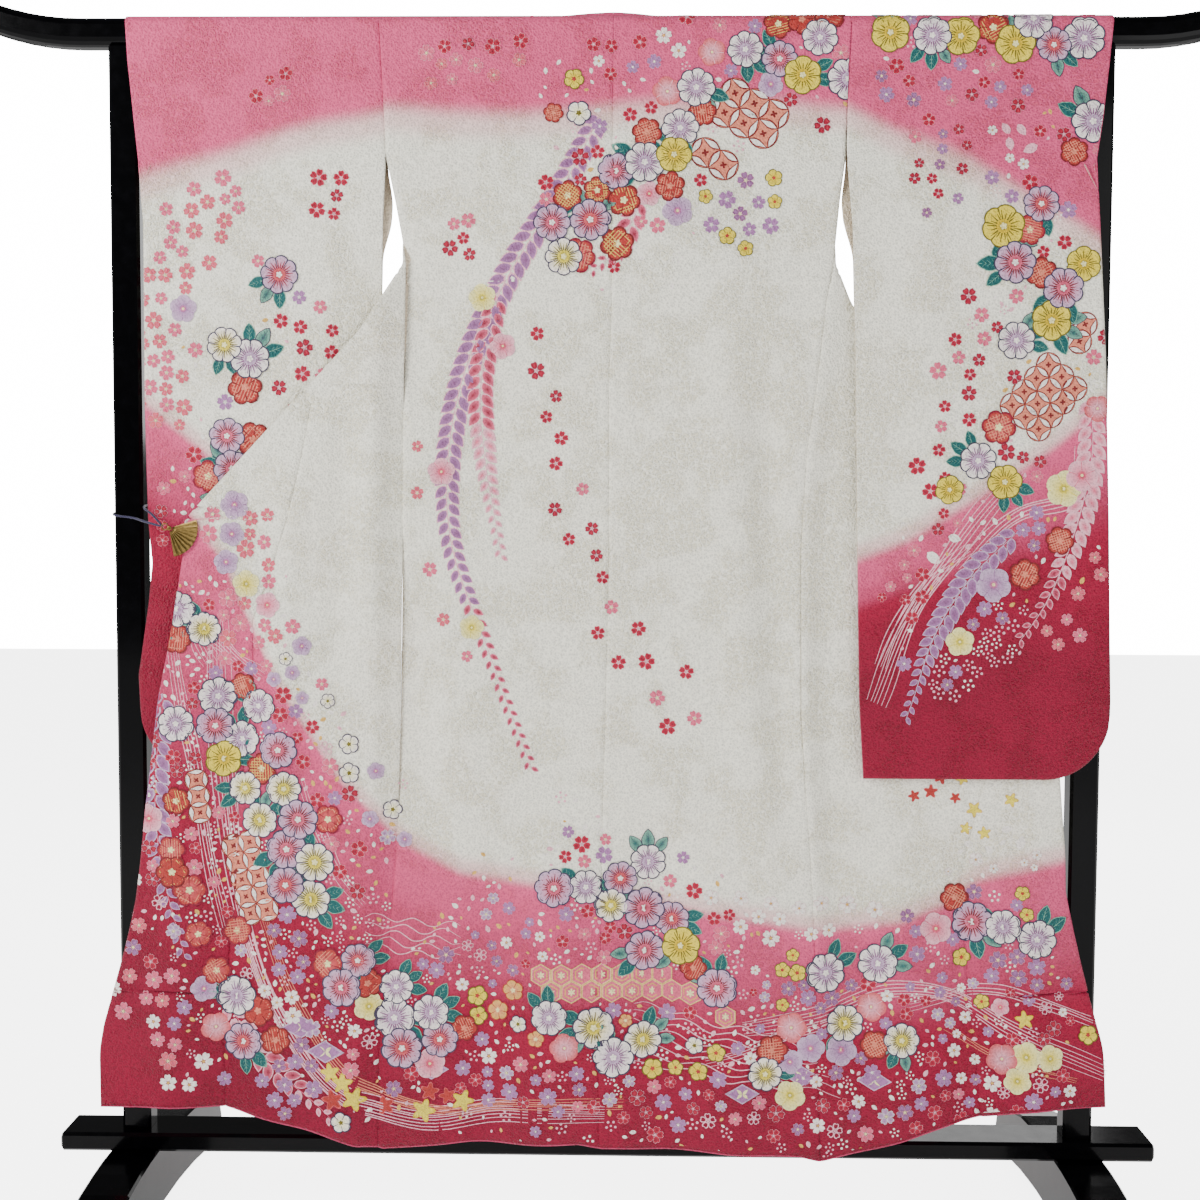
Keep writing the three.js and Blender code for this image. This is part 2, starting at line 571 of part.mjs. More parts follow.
function sleeve(side) {
  const depth = SLEEVE_DEPTH[side.name];
  const near = (z) => mix(-(BAR.halfDepth + CLOTH_LIFT), depth.near, smooth((BAR.bottom - z) / 280));
  // Towards the wrist the far layer keeps behind the post, then passes before it.
  const far = (z, part) => {
    const free = mix(BAR.halfDepth + CLOTH_LIFT, depth.far, smooth((BAR.bottom - z) / 280));
    const behind = mix(BAR.halfDepth + CLOTH_LIFT, WRIST_DEPTH, smooth((1572 - z) / 98));
    const held = mix(behind, depth.far, smooth((SLEEVE.wristZ - z) / 120));
    return mix(free, held, smooth((part - 0.5) / 0.35));
  };
  const bottomAt = (share) => {
    const width = Math.abs(side.sleeve[0].outer - side.sleeve[0].inner);
    const fromEdge = (1 - share) * width;
    const radius = SLEEVE.cornerRadius;
    if (fromEdge >= radius) return SLEEVE.bottomZ;
    return SLEEVE.bottomZ + radius - Math.sqrt(radius ** 2 - (radius - fromEdge) ** 2) * 0.985;
  };
  const xAt = (share, z, isFar) => {
    const inner = lookup(side.sleeve, "inner", z) + side.sign * (z >= SLEEVE.seamEndZ ? GAP / 2 : 2 * GAP);
    const pull = isFar ? lookup(WRIST_FAR_EDGE, "pull", z) * smooth(share * 2 - 0.6) : 0;
    return mix(inner, lookup(side.sleeve, "outer", z), share) - side.sign * pull;
  };
  const rowHeight = (r, bottom) => {
    const z = SLEEVE_HEIGHTS[r];
    const low = SLEEVE_HEIGHTS[SLEEVE_ROWS];
    return z >= CURVED_BELOW ? z : mix(bottom + 4, CURVED_BELOW, (z - low) / (CURVED_BELOW - low));
  };
  // Below the seam the open inner edge falls back a little.
  const openEdge = (part, z) => depth.openEdge * (1 - smooth(part / 0.22)) * smooth((SLIT_Z + 60 - z) / 90);
  const bow = (depth.near + depth.far) / 2;
  const column = (part) => {
    const bottom = bottomAt(part);
    const points = [];
    for (let r = 0; r <= SLEEVE_ROWS; r++) {
      const z = rowHeight(r, bottom);
      const x = xAt(part, z, false);
      const fold = SLEEVE_FOLDS.reduce((sum, f) => sum + foldDepth(
        [{ ...f, xTop: xAt(f.share, f.top, false), xBottom: xAt(f.share, f.bottom, false) }], x, z), 0);
      points.push([x, near(z) + Math.min(0, fold) + openEdge(part, z), z]);
    }
    const turn = (depth.far - depth.near) / 2;
    for (let k = 1; k < 3; k++) {
      const angle = (k / 3) * Math.PI;
      points.push([
        xAt(part, bottom, false), bow - turn * Math.cos(angle) + openEdge(part, bottom),
        bottom + 4 - 3 * Math.sin(angle),
      ]);
    }
    for (let r = SLEEVE_ROWS; r >= 0; r--) {
      const z = rowHeight(r, bottom);
      points.push([xAt(part, z, true), far(z, part) + openEdge(part, z), z]);
    }
    for (const length of overSteps(CLOTH_LIFT).slice(1, -1).reverse()) {
      const [y, z] = overBar(length, CLOTH_LIFT);
      points.push([xAt(part, SHOULDER_Z, false), y, z]);
    }
    return points;
  };
  const shares = [...Array(SLEEVE_COLUMNS + 1).keys()]
    .map((k) => Math.sin((k / SLEEVE_COLUMNS) * Math.PI / 2) ** 0.9);
  const columns = shares.map(column);
  const loop = columns[0].length;
  const rows = [...Array(loop).keys()].map((i) => columns.map((points) => points[i]));
  const normals = gridNormals(rows, true);
  const outward = side.sign < 0 ? 1 : -1;
  const outer = offsetGrid(rows, normals, outward * WALL / 2);
  const inner = offsetGrid(rows, normals, -outward * WALL / 2);
  // The lining side stops one wall short of the sewn outer edge.
  for (const row of inner) row[row.length - 1][0] -= side.sign * WALL;
  const wide = SLEEVE_COLUMNS + 1;
  const vertices = [outer, inner].flat(2);
  const id = (face, i, j) => face * wide * loop + (i % loop) * wide + j;
  const triangles = [];
  const quad = (a, b, c, d) => triangles.push([a, b, c], [a, c, d]);
  for (let i = 0; i < loop; i++) {
    for (let j = 0; j + 1 < wide; j++) {
      quad(id(0, i, j), id(0, i, j + 1), id(0, i + 1, j + 1), id(0, i + 1, j));
      quad(id(1, i, j), id(1, i + 1, j), id(1, i + 1, j + 1), id(1, i, j + 1));
    }
    quad(id(0, i, 0), id(0, i + 1, 0), id(1, i + 1, 0), id(1, i, 0));
  }
  // Outer edge: open at the wrist, sewn from there down to the bottom fold.
  const edge = wide - 1;
  const farRow = (r) => 2 * SLEEVE_ROWS + 3 - r;
  const sewn = SLEEVE_HEIGHTS.indexOf(SLEEVE.wristZ);
  for (let r = sewn; r < SLEEVE_ROWS; r++) {
    quad(id(0, r, edge), id(0, farRow(r), edge), id(0, farRow(r + 1), edge), id(0, r + 1, edge));
    quad(id(1, r, edge), id(1, r + 1, edge), id(1, farRow(r + 1), edge), id(1, farRow(r), edge));
  }
  quad(id(0, SLEEVE_ROWS, edge), id(0, farRow(SLEEVE_ROWS), edge),
    id(0, SLEEVE_ROWS + 2, edge), id(0, SLEEVE_ROWS + 1, edge));
  quad(id(1, SLEEVE_ROWS, edge), id(1, SLEEVE_ROWS + 1, edge),
    id(1, SLEEVE_ROWS + 2, edge), id(1, farRow(SLEEVE_ROWS), edge));
  quad(id(0, farRow(sewn), edge), id(0, sewn, edge), id(1, sewn, edge), id(1, farRow(sewn), edge));
  for (let i = farRow(sewn); i < loop + sewn; i++) {
    quad(id(0, i + 1, edge), id(0, i, edge), id(1, i, edge), id(1, i + 1, edge));
  }
  return meshFrom(`sleeve_${side.name}`, vertices, triangles, pinkSilk);
}

// ---- fan clip and its cord --------------------------------------------------------------------
const FAN = { x: -594, y: -51.8, z: 984, radius: 39, inner: 5, ribs: 9, from: 17, to: -81, crest: 1.1 };
const FAN_HALF = { front: 0.6, back: 1.08 };   // thickness before and behind the fan's own middle

function fanClip() {
  const front = [];
  const steps = FAN.ribs * 2;
  const section = (angle, crest) => [
    [FAN.inner, FAN_HALF.front], [FAN.radius, FAN_HALF.front + crest],
    [FAN.radius, crest - FAN_HALF.back], [FAN.inner, -FAN_HALF.front],
  ].map(([r, lift]) => [
    FAN.x + r * Math.cos(angle), FAN.y - lift, FAN.z + r * Math.sin(angle),
  ]);
  for (let k = 0; k <= steps; k++) {
    const angle = THREE.MathUtils.degToRad(mix(FAN.from, FAN.to, k / steps));
    front.push(section(angle, k % 2 ? FAN.crest : 0));
  }
  return ringSolid("fan_clip", front, brass);
}

const CORD_RADIUS = 1.5;
const CORD_ROUTE = [
  [-603, -51, 987], [-628, -42, 992], [-655, -21.5, 998], [-672, -19.8, 1000], [-682.2, -16, 1002],
  [-683.1, 0, 1005], [-682.2, 16, 1007], [-672, 19.8, 1009], [-650, 19.4, 1012], [-639.2, 16, 1013],
  [-638.8, 0, 1015], [-638.8, -16, 1014], [-634, -30, 1010], [-622, -42, 1004], [-608, -51, 992],
];

function clipCord() {
  const route = CORD_ROUTE.map((point) => new THREE.Vector3(...point));
  const curve = new THREE.CatmullRomCurve3(route, true, "centripetal");
  const steps = 44;
  const sides = 8;
  const frames = curve.computeFrenetFrames(steps, true);
  const rings = [...Array(steps).keys()].map((k) => {
    const centre = curve.getPointAt(k / steps);
    return [...Array(sides).keys()].map((j) => {
      const angle = (j / sides) * 2 * Math.PI;
      const reach = centre.clone()
        .addScaledVector(frames.normals[k], CORD_RADIUS * Math.cos(angle))
        .addScaledVector(frames.binormals[k], CORD_RADIUS * Math.sin(angle));
      return reach.toArray();
    });
  });
  return ringSolid("clip_cord", rings, cordSilk, true);
}

// ---- the whole part ---------------------------------------------------------------------------
const kimono = new THREE.Group();
kimono.add(topBar(), baseBeam());
for (const sign of [-1, 1]) kimono.add(post(sign), foot(sign));
for (const side of Object.values(SIDES)) kimono.add(bodyPanel(side), okumi(side), sleeve(side));
kimono.add(collar(), fanClip(), clipCord());

export default kimono;
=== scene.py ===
"""Looks of a furisode kimono hung over a lacquered kimono stand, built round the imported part."""

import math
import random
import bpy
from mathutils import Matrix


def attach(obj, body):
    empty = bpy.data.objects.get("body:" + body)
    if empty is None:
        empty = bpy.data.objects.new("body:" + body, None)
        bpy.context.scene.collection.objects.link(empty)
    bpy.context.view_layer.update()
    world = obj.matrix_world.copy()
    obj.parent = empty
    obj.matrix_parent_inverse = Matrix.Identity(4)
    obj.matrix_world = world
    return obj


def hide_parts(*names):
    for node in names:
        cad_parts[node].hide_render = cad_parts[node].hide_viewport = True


bl_info = {
    "name": "Furisode on a stand",
    "version": (1, 0, 0),
    "blender": (4, 5, 0),
    "location": "3D View > Sidebar > Kimono",
    "description": "Dresses the packed kimono and its stand with silk, painted flowers, lacquer and brass",
    "category": "Object",
}

import bmesh
import bpy
import numpy as np
from mathutils import Matrix, Vector
from mathutils.bvhtree import BVHTree

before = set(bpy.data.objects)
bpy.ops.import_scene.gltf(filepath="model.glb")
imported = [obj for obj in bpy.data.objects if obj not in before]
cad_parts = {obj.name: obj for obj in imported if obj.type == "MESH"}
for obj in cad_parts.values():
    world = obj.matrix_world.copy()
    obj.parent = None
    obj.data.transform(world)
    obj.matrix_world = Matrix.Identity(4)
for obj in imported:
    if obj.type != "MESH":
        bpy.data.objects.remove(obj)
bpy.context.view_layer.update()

MM = 0.001                        # every size below is in millimetres; meshes are in metres
SHELL = 1.3                       # thickness of the silk with its lining
SEAM_GAP = -0.3                   # sewn edges lap a little
LAP = SEAM_GAP / 2                # what each of two sewn edges gives of it
CLOTH_LIFT = 1.3                  # middle of a panel above the bar it rests on
HEM_Z = 120                       # level of the hem before it waves
SHOULDER_Z = 1668                 # level of the shoulder fold
SLIT_Z = 1345                     # lower end of the slit under the arm
TUCK_Z = 1318                     # the tuck sewn across the back
OKUMI_TOP = 1297                  # the overlap panels run out here, under the collar
FOLD_RADIUS = 4                   # bend of a front where it is folded back
HEM_ROLL = 1.2                    # radius of the padded hem
BACK_FOLD_STRENGTH = 1.7
FRONT_FOLD_STRENGTH = 1.4
OVER_ROWS = 18                    # rows of cloth over the bar

BAR = {"bottom": 1638, "height": 39, "half_depth": 18, "corner": 11}
SLEEVE = {"bottom": 644, "corner": 90, "wrist": 1474, "seam_end": 1487}
COLLAR = {"width": 56, "end": 920, "neck_half": 76, "lift": 5}
FAN = {"x": -594, "y": -51.8, "z": 984, "radius": 39, "inner": 5, "ribs": 9, "from": 17, "to": -81}
FAN_PIVOT = ((3.2, 0), (3.2, 0.9), (2.8, 1.3), (1.6, 1.6), (0.6, 1.7))      # radius and height
CLIP_RING = {"aside": -5.5, "ahead": -0.9, "up": 2, "radius": 4.4, "wire": 0.75}
CAMERA = {"place": (25.1, -2079.5, 1002.2), "yaw": -0.959, "pitch": 3.188, "roll": 0.233, "focal": 1500,
          "frame": 1200}
BAR_SHOULDER = BAR["bottom"] + BAR["height"] - BAR["corner"]

# Height, then the x of the centre seam, left side seam and right side seam of the back.
BACK_SECTIONS = [
    (1668, 6, -311, 325), (1487, 5, -301, 319), (1427, 5, -288, 311), (1345, 5, -274, 303),
    (1292, 5, -275, 294), (1185, 2, -277, 283), (1093, 2, -278, 271), (957, 3, -279, 264),
    (725, -1, -282, 267), (614, -4, -285, 275), (518, -5, -290, 282), (400, -6, -299, 289),
    (250, -9, -313, 294), (120, -8, -315, 299),
]
# Height, then distances along the cloth from the side seam: okumi seam, free edge, turn-back.
LEFT_FRONT = [
    (1668, 235, 235, 3), (1345, 235, 235, 3), (1297, 225, 231, 31), (1253, 200, 220, 59),
    (1200, 165, 210, 107), (1153, 124, 204, 151), (1079, 136, 251, 219), (1002, 153, 303, 290),
    (920, 178, 345, 302), (858, 201, 372, 311), (749, 201, 378, 331), (610, 219, 389, 345),
    (470, 219, 389, 353), (371, 218, 388, 365), (120, 211, 382, 395),
]
RIGHT_FRONT = [
    (1668, 235, 235, 3), (1345, 235, 235, 3), (1297, 235, 241, 32), (1253, 235, 255, 62),
    (1200, 235, 278, 112), (1153, 235, 302, 160), (1079, 235, 335, 212), (1002, 235, 365, 297),
    (920, 235, 398, 312), (858, 236, 400, 325), (749, 242, 400, 340), (643, 248, 398, 351),
    (545, 217, 392, 352), (489, 205, 389, 350), (391, 209, 389, 363), (120, 221, 391, 405),
]
# x, then the height of the hem there.
HEM = [
    (-697, 185), (-526, 185), (-454, 164), (-344, 131), (-307, 125), (-195, 133), (-36, 135), (-6, 128),
    (150, 124), (271, 119), (299, 113), (373, 132), (516, 177), (607, 189), (690, 194),
]
# Height, then the x of a sleeve's open inner edge and of its outer edge.
LEFT_SLEEVE = [
    (1668, -311, -656), (1614, -308, -653), (1541, -304, -645), (1474, -301, -637), (1401, -304, -631),
    (1158, -311, -632), (995, -313, -629), (936, -314, -624), (879, -315, -630), (781, -316, -645),
    (644, -318, -640),
]
RIGHT_SLEEVE = [
    (1668, 325, 676), (1610, 323, 671), (1541, 321, 663), (1474, 320, 652), (1389, 327, 658),
    (1220, 333, 669), (1004, 338, 678), (753, 345, 686), (644, 352, 684),
]
WRIST_FAR_EDGE = [(1645, 0), (1600, 20), (1560, 30), (1510, 27), (1474, 15), (1440, 0)]

# x at the top and bottom, heights they run between, depth (plus is a trough) and half-width.
BACK_FOLDS = [
    (-286, -255, 1440, 1130, 5, 30), (-230, -180, 1480, 960, 3, 38), (-262, -258, 1000, 560, 4, 30),
    (-190, -200, 900, 420, -4, 45), (-150, -170, 560, 90, 5, 42), (-60, -85, 620, 90, -5, 50),
    (150, 225, 1450, 420, -4, 34), (205, 245, 1250, 520, 6, 26), (60, 95, 640, 90, 5, 46),
    (160, 185, 520, 90, -4, 44),
]
LEFT_FRONT_FOLDS = [
    (-350, -372, 1230, 700, 4, 20), (-318, -325, 1260, 800, -4, 20), (-425, -455, 1120, 560, -4, 26),
    (-505, -520, 900, 90, 5, 30), (-590, -600, 860, 90, -4, 32), (-400, -415, 600, 90, 5, 36),
]
RIGHT_FRONT_FOLDS = [(400, 410, 620, 90, -5, 36), (490, 505, 620, 90, 4, 26), (585, 600, 620, 90, -5, 34)]
# A sleeve's folds stand at a share of its width.
SLEEVE_FOLDS = [(0.3, 1560, 760, -2.5, 40), (0.62, 1500, 800, 2, 46)]
# Small creases: from x, z to x, z, depth and half-width. The level ones are storage folds.
CREASES = [
    (-270, 1236, 285, 1240, 0.7, 5), (-275, 998, 262, 994, -0.7, 5), (-278, 868, 262, 872, 0.6, 5),
    (-279, 1320, 300, 1316, 0.9, 3), (120, 1440, 190, 1120, 1.1, 9), (-40, 1300, -70, 900, -0.9, 12),
    (40, 1240, 70, 760, 0.8, 12), (-120, 1180, -150, 700, 0.9, 10), (250, 1420, 272, 1210, 1.4, 8),
    (-255, 1290, -215, 1060, 1.3, 9), (-20, 470, -40, 150, 1.2, 12), (230, 460, 250, 150, 1.3, 10),
    (-240, 430, -262, 150, 1.2, 11), (110, 420, 130, 140, -1.1, 12),
    (-470, 700, -480, 420, 1.1, 12), (-555, 560, -570, 230, -1.2, 12),
    (-350, 560, -362, 210, 1.2, 11), (440, 560, 455, 220, 1.2, 11), (545, 560, 560, 230, 1.0, 12),
    (355, 1460, 372, 1080, 0.8, 10), (610, 1380, 622, 980, 0.8, 12), (-590, 1380, -585, 1120, 0.8, 12),
    (-350, 1460, -362, 1180, 0.8, 11), (470, 1000, 480, 700, 0.8, 14), (-520, 1460, -500, 1240, 0.8, 14),
]
# The same, on the fronts alone: they run to where the clip gathers the cloth.
CLIP_CREASES = [
    (-560, 960, -330, 1215, 3.0, 18), (-566, 950, -360, 1130, -2.6, 18), (-560, 930, -420, 1010, 3.0, 18),
    (-552, 915, -440, 840, -2.6, 18), (-560, 905, -500, 720, 2.8, 18), (-575, 900, -560, 690, -2.0, 15),
    (-588, 905, -606, 720, 1.2, 8),
]


def clamp01(t):
    return np.clip(t, 0.0, 1.0)


def mix(a, b, t):
    return a + (b - a) * t


def smooth(t):
    c = clamp01(t)
    return c * c * (3 - 2 * c)


def lookup(table, at, column=1):
    """A column of a table at a height, or at any other first column."""
    rows = np.array(sorted(table), float)
    return np.interp(at, rows[:, 0], rows[:, column])


def fold_depth(folds, x, z):
    depth = np.zeros_like(x, float)
    for x_top, x_bottom, top, bottom, deep, width in folds:
        t = (top - z) / (top - bottom)
        ends = smooth(t * 4) * smooth((1 - t) * 4 + (1 if bottom < HEM_Z else 0))
        line = mix(x_top, x_bottom, t)
        depth += np.where((t < 0) | (t > 1), 0, deep * ends * np.exp(-(((x - line) / width) ** 2)))
    return depth


def crease_depth(x, z, creases=CREASES):
    depth = np.zeros_like(x, float)
    for x0, z0, x1, z1, deep, width in creases:
        long = math.hypot(x1 - x0, z1 - z0)
        ux, uz = (x1 - x0) / long, (z1 - z0) / long
        t = ((x - x0) * ux + (z - z0) * uz) / long
        aside = (x - x0) * -uz + (z - z0) * ux
        depth += deep * smooth(t * 5) * smooth((1 - t) * 5) * np.exp(-((aside / width) ** 2))
    return depth + 0.35 * np.sin(x / 31 + z / 170) + 0.25 * np.sin(x / 17 - z / 95 + 1.3)


def seam_dip(distance):
    """Cloth is drawn in beside a seam."""
    return 1.7 * np.exp(-((distance / 2.6) ** 2))


def hem_shift(x, z):
    return (lookup(HEM, x) - HEM_Z) * (1 - smooth((z - HEM_Z) / 380))


def level_height(x, height):
    """The height on the straight-hemmed panel of a point on the wavy one."""
    z = height
    for _ in range(6):
        z = height - hem_shift(x, z)
    return z


# ---- how the cloth hangs -------------------------------------------------------------------
def back_depth(z):
    drop = BAR["bottom"] - z
    return -(BAR["half_depth"] + CLOTH_LIFT) - 12 * smooth(drop / 300) - 13 * clamp01(drop / 1500)


def far_depth(z):
    return BAR["half_depth"] + CLOTH_LIFT - 31 * smooth((BAR["bottom"] - z) / 300)


def corner_length(lift):
    return (math.pi / 2) * (BAR["corner"] + lift)


def over_length(lift):
    return 2 * corner_length(lift) + 2 * (BAR["half_depth"] - BAR["corner"])


def over_bar(length, lift):
    """Depth and height of a path over the bar, a length from where it leaves the near face."""
    length = np.asarray(length, float)
    reach = BAR["half_depth"] + lift
    radius = BAR["corner"] + lift
    top = BAR["bottom"] + BAR["height"] + lift
    quarter, total = corner_length(lift), over_length(lift)
    rise = clamp01(length / quarter) * math.pi / 2
    fall = clamp01((length - total + quarter) / quarter) * math.pi / 2
    level = np.clip(length - quarter, 0, total - 2 * quarter)
    y = radius - reach - radius * np.cos(rise) + level + radius * np.sin(fall)
    z = top - radius + radius * np.sin(rise) - radius * (1 - np.cos(fall))
    return y, z - np.maximum(0, length - total) + np.minimum(0, length)


SIDES = {
    "left": {
        "sign": -1, "column": 2, "front": LEFT_FRONT, "folds": LEFT_FRONT_FOLDS, "sleeve": LEFT_SLEEVE,
        "near": -31.5, "far": -26.5, "open": 4.5,
    },
    "right": {
        "sign": 1, "column": 3, "front": RIGHT_FRONT, "folds": RIGHT_FRONT_FOLDS, "sleeve": RIGHT_SLEEVE,
        "near": -40, "far": -34.5, "open": 0,
    },
}


def side_seam(side, z):
    return lookup(BACK_SECTIONS, z, side["column"])


def spread_depth(side, out, z):
    seam = back_depth(z)
    if side["sign"] < 0:
        away = seam - 12
    else:
        away = -27 - 6 * smooth((650 - z) / 350) - 10 * smooth((300 - z) / 130)
    return mix(seam, away, smooth(out / 38))


def front_point(side, s, z):
    """A point of a front, s along the cloth from the side seam, at a level height z."""
    s, z = np.broadcast_arrays(np.asarray(s, float), np.asarray(z, float))
    side_x = side_seam(side, z)
    reach = lookup(side["front"], z, 3)
    radius = np.minimum(FOLD_RADIUS, reach * 0.9)
    straight = reach - radius
    angle = np.clip((s - straight) / radius, 0, math.pi)
    past = np.maximum(0, s - straight - math.pi * radius)
    out = np.minimum(s, straight) + radius * np.sin(angle) - past
    turned = (1 - np.cos(angle)) / 2
    x = side_x + side["sign"] * out
    inside = np.maximum(out, 0)
    folds = FRONT_FOLD_STRENGTH * fold_depth(side["folds"], x, z)
    near = spread_depth(side, out, z) + np.where(out > 0, folds, 0)
    creased = crease_depth(x, z, CREASES + CLIP_CREASES) * smooth(out / 20) * smooth((straight - s) / 14)
    near = near + seam_dip(s) + creased
    near = near + seam_dip(s - lookup(side["front"], z, 1))
    room = far_depth(z) - back_depth(z) - 2 * radius - 4
    sag = np.where(out < 0, (1 - np.exp(np.minimum(out, 0) / 30)) * room, 0)
    back = spread_depth(side, inside, z) + 2 * radius + np.maximum(0, sag)
    opened = smooth((z - SLIT_Z) / 60)
    hung_x = side_x - side["sign"] * s
    return np.stack([
        mix(x, hung_x, opened),
        mix(mix(near, back, turned), far_depth(z) + 0.5 * np.sin(s / 24 + z / 90), opened),
        z + hem_shift(x, z),
    ], axis=-1)


def back_point(x, z):
    """A point of the back at a level height; heights past the bar's shoulder go on over the bar."""
    over = np.maximum(0, z - BAR_SHOULDER)
    level = np.minimum(z, BAR_SHOULDER)
    over_y, over_z = over_bar(over, CLOTH_LIFT)
    centre = lookup(BACK_SECTIONS, level, 1)
    away = [np.abs(x - side_seam(side, level)) for side in SIDES.values()]
    drawn = seam_dip(x - centre) + seam_dip(np.minimum(*away))
    free = smooth((BAR["bottom"] - level) / 60)
    tuck = 1.6 * smooth((level - TUCK_Z + 1) / 2) * np.exp(-np.maximum(0, level - TUCK_Z) / 14)
    folds = BACK_FOLD_STRENGTH * fold_depth(BACK_FOLDS, x, level)
    depth = back_depth(level) + folds - tuck + free * (crease_depth(x, level) + drawn)
    hung = level + hem_shift(x, level)
    return np.stack([x, np.where(over > 0, over_y, depth), np.where(over > 0, over_z, hung)], axis=-1)


def sleeve_inner(side, z):
    gap = np.where(z >= SLEEVE["seam_end"], LAP, 0.6)
    return lookup(side["sleeve"], z, 1) + side["sign"] * gap


def sleeve_bottom(side, share):
    """Height of the bottom of a sleeve, which rounds up to its outer edge."""
    width = abs(side["sleeve"][0][2] - side["sleeve"][0][1])
    radius = SLEEVE["corner"]
    from_edge = np.minimum((1 - share) * width, radius)
    return SLEEVE["bottom"] + radius - np.sqrt(np.maximum(0, radius**2 - (radius - from_edge) ** 2)) * 0.985


def sleeve_point(side, share, z, layer):
    """A point of a sleeve's near (0) or far (1) layer, at a share of its width from the open edge."""
    sign = side["sign"]
    shoulder = BAR["half_depth"] + CLOTH_LIFT
    drop = smooth((BAR["bottom"] - z) / 280)
    near = mix(-shoulder, side["near"], drop)
    free = mix(shoulder, side["far"], drop)
    behind = mix(shoulder, -22, smooth((1572 - z) / 98))
    held = mix(behind, side["far"], smooth((SLEEVE["wrist"] - z) / 120))
    far = mix(free, held, smooth((share - 0.5) / 0.35))
    inner, outer = sleeve_inner(side, z), lookup(side["sleeve"], z, 2)
    x = mix(inner, outer, share)
    folds = np.zeros_like(x)
    for at, top, bottom, deep, width in SLEEVE_FOLDS:
        x_top = mix(sleeve_inner(side, top), lookup(side["sleeve"], top, 2), at)
        x_bottom = mix(sleeve_inner(side, bottom), lookup(side["sleeve"], bottom, 2), at)
        folds = folds + fold_depth([(x_top, x_bottom, top, bottom, deep, width)], x, z)
    crease = crease_depth(x, z) * smooth((BAR["bottom"] - z) / 80)
    near = near + np.minimum(0, folds) + crease * 0.8
    bow = (side["near"] + side["far"]) / 2 + crease * 0.8
    # The two layers meet along the sewn outer edge, below the wrist opening.
    from_edge = np.abs(outer - x)
    closing = (1 - np.sqrt(1 - (1 - clamp01(from_edge / 3)) ** 2)) * smooth((SLEEVE["wrist"] + 8 - z) / 8)
    opened = side["open"] * (1 - smooth(share / 0.22)) * smooth((SLIT_Z + 60 - z) / 90)
    dip = seam_dip(np.abs(x - inner)) * smooth((z - SLEEVE["seam_end"]) / 10)
    slack = 11 * smooth((SLEEVE["seam_end"] - z) / 70) * smooth((z - SLIT_Z) / 60)
    slack = slack * (1 - smooth(share * 8)) * layer
    pull = lookup(WRIST_FAR_EDGE, z) * smooth(share * 2 - 0.6) * layer + slack
    depth = np.where(layer > 0, far, near + dip)
    return np.stack([x - sign * pull, mix(depth, bow, closing) + opened, z], axis=-1)


def sleeve_share(side, x, z):
    """How far across a sleeve a point lies: 0 at its open edge and 1 at its outer one."""
    inner, outer = sleeve_inner(side, z), lookup(side["sleeve"], z, 2)
    return clamp01((x - inner) / (outer - inner))


def sleeve_near_point(side, x, z):
    """A point on the near layer of a sleeve by its x, going on over the bar past its shoulder."""
    over = np.maximum(0, z - BAR_SHOULDER)
    level = np.minimum(z, BAR_SHOULDER)
    share = sleeve_share(side, x, level)
    point = sleeve_point(side, share, level, np.zeros_like(share))
    over_y, over_z = over_bar(over, CLOTH_LIFT)
    return np.stack([
        point[..., 0], np.where(over > 0, over_y, point[..., 1]), np.where(over > 0, over_z, point[..., 2]),
    ], axis=-1)


def spread_point(x, height):
    """A point on the near face of the spread garment: the back, and past each side seam a front."""
    z = level_height(x, np.minimum(height, BAR_SHOULDER)) + np.maximum(0, height - BAR_SHOULDER)
    point = back_point(x, z)
    for side in SIDES.values():
        out = (x - side_seam(side, z)) * side["sign"]
        reach = lookup(side["front"], z, 3)
        radius = np.minimum(FOLD_RADIUS, reach * 0.9)
        turn = np.arcsin(clamp01((out - reach + radius) / radius)) * radius
        s = np.minimum(out, reach - radius) + turn
        front = front_point(side, s, z)
        on_front = ((out > 0) & (z < SLIT_Z))[..., None]
        point = np.where(on_front, front, point)
    return point


# ---- dyes ----------------------------------------------------------------------------------
# x, then the heights where pink starts and where it has turned crimson, over the spread hem.
HEM_FADE = [
    (-700, 1160, 540), (-571, 1040, 450), (-517, 960, 400), (-449, 800, 350), (-367, 672, 300),
    (-284, 585, 262),
    (-198, 540, 245), (-90, 524, 232), (0, 506, 226), (130, 486, 224), (212, 474, 226), (294, 462, 228),
    (403, 473, 236), (472, 498, 240), (512, 530, 244), (595, 552, 252), (700, 575, 262),
]
# Share of a sleeve's width, then heights: shoulder fade's end, pink's start, crimson.
SLEEVE_FADE = {
    "left": [(0.0, 1500, 890, 800), (0.3, 1481, 960, 840), (0.7, 1441, 1104, 900), (1.0, 1415, 1180, 940)],
    "right": [(0.0, 1506, 975, 865), (0.2, 1470, 1000, 875), (0.5, 1435, 1060, 890), (0.8, 1375, 1130, 910),
              (1.0, 1330, 1185, 930)],
}


def fade(z, shoulder_end, pink, crimson):
    """Strength of the dye: 0 is ivory, 1 pink and 2 crimson."""
    top = smooth((z - shoulder_end + 10) / 95) * 0.93
    low = smooth((pink + 10 - z) / 66)
    deep = smooth((pink - 60 - z) / np.maximum(60, pink - 60 - crimson))
    return np.maximum(top, low + deep + 0.1 * smooth((crimson + 10 - z) / 130))


def spread_dye(points):
    x, z = points[..., 0], points[..., 2]
    return fade(z, 1506 + 6 * np.sin(x / 90), lookup(HEM_FADE, x, 1), lookup(HEM_FADE, x, 2))


def sleeve_dye(name, points):
    z = points[..., 2]
    share = sleeve_share(SIDES[name], points[..., 0], z)
    return fade(z, *(lookup(SLEEVE_FADE[name], share, k) for k in (1, 2, 3)))


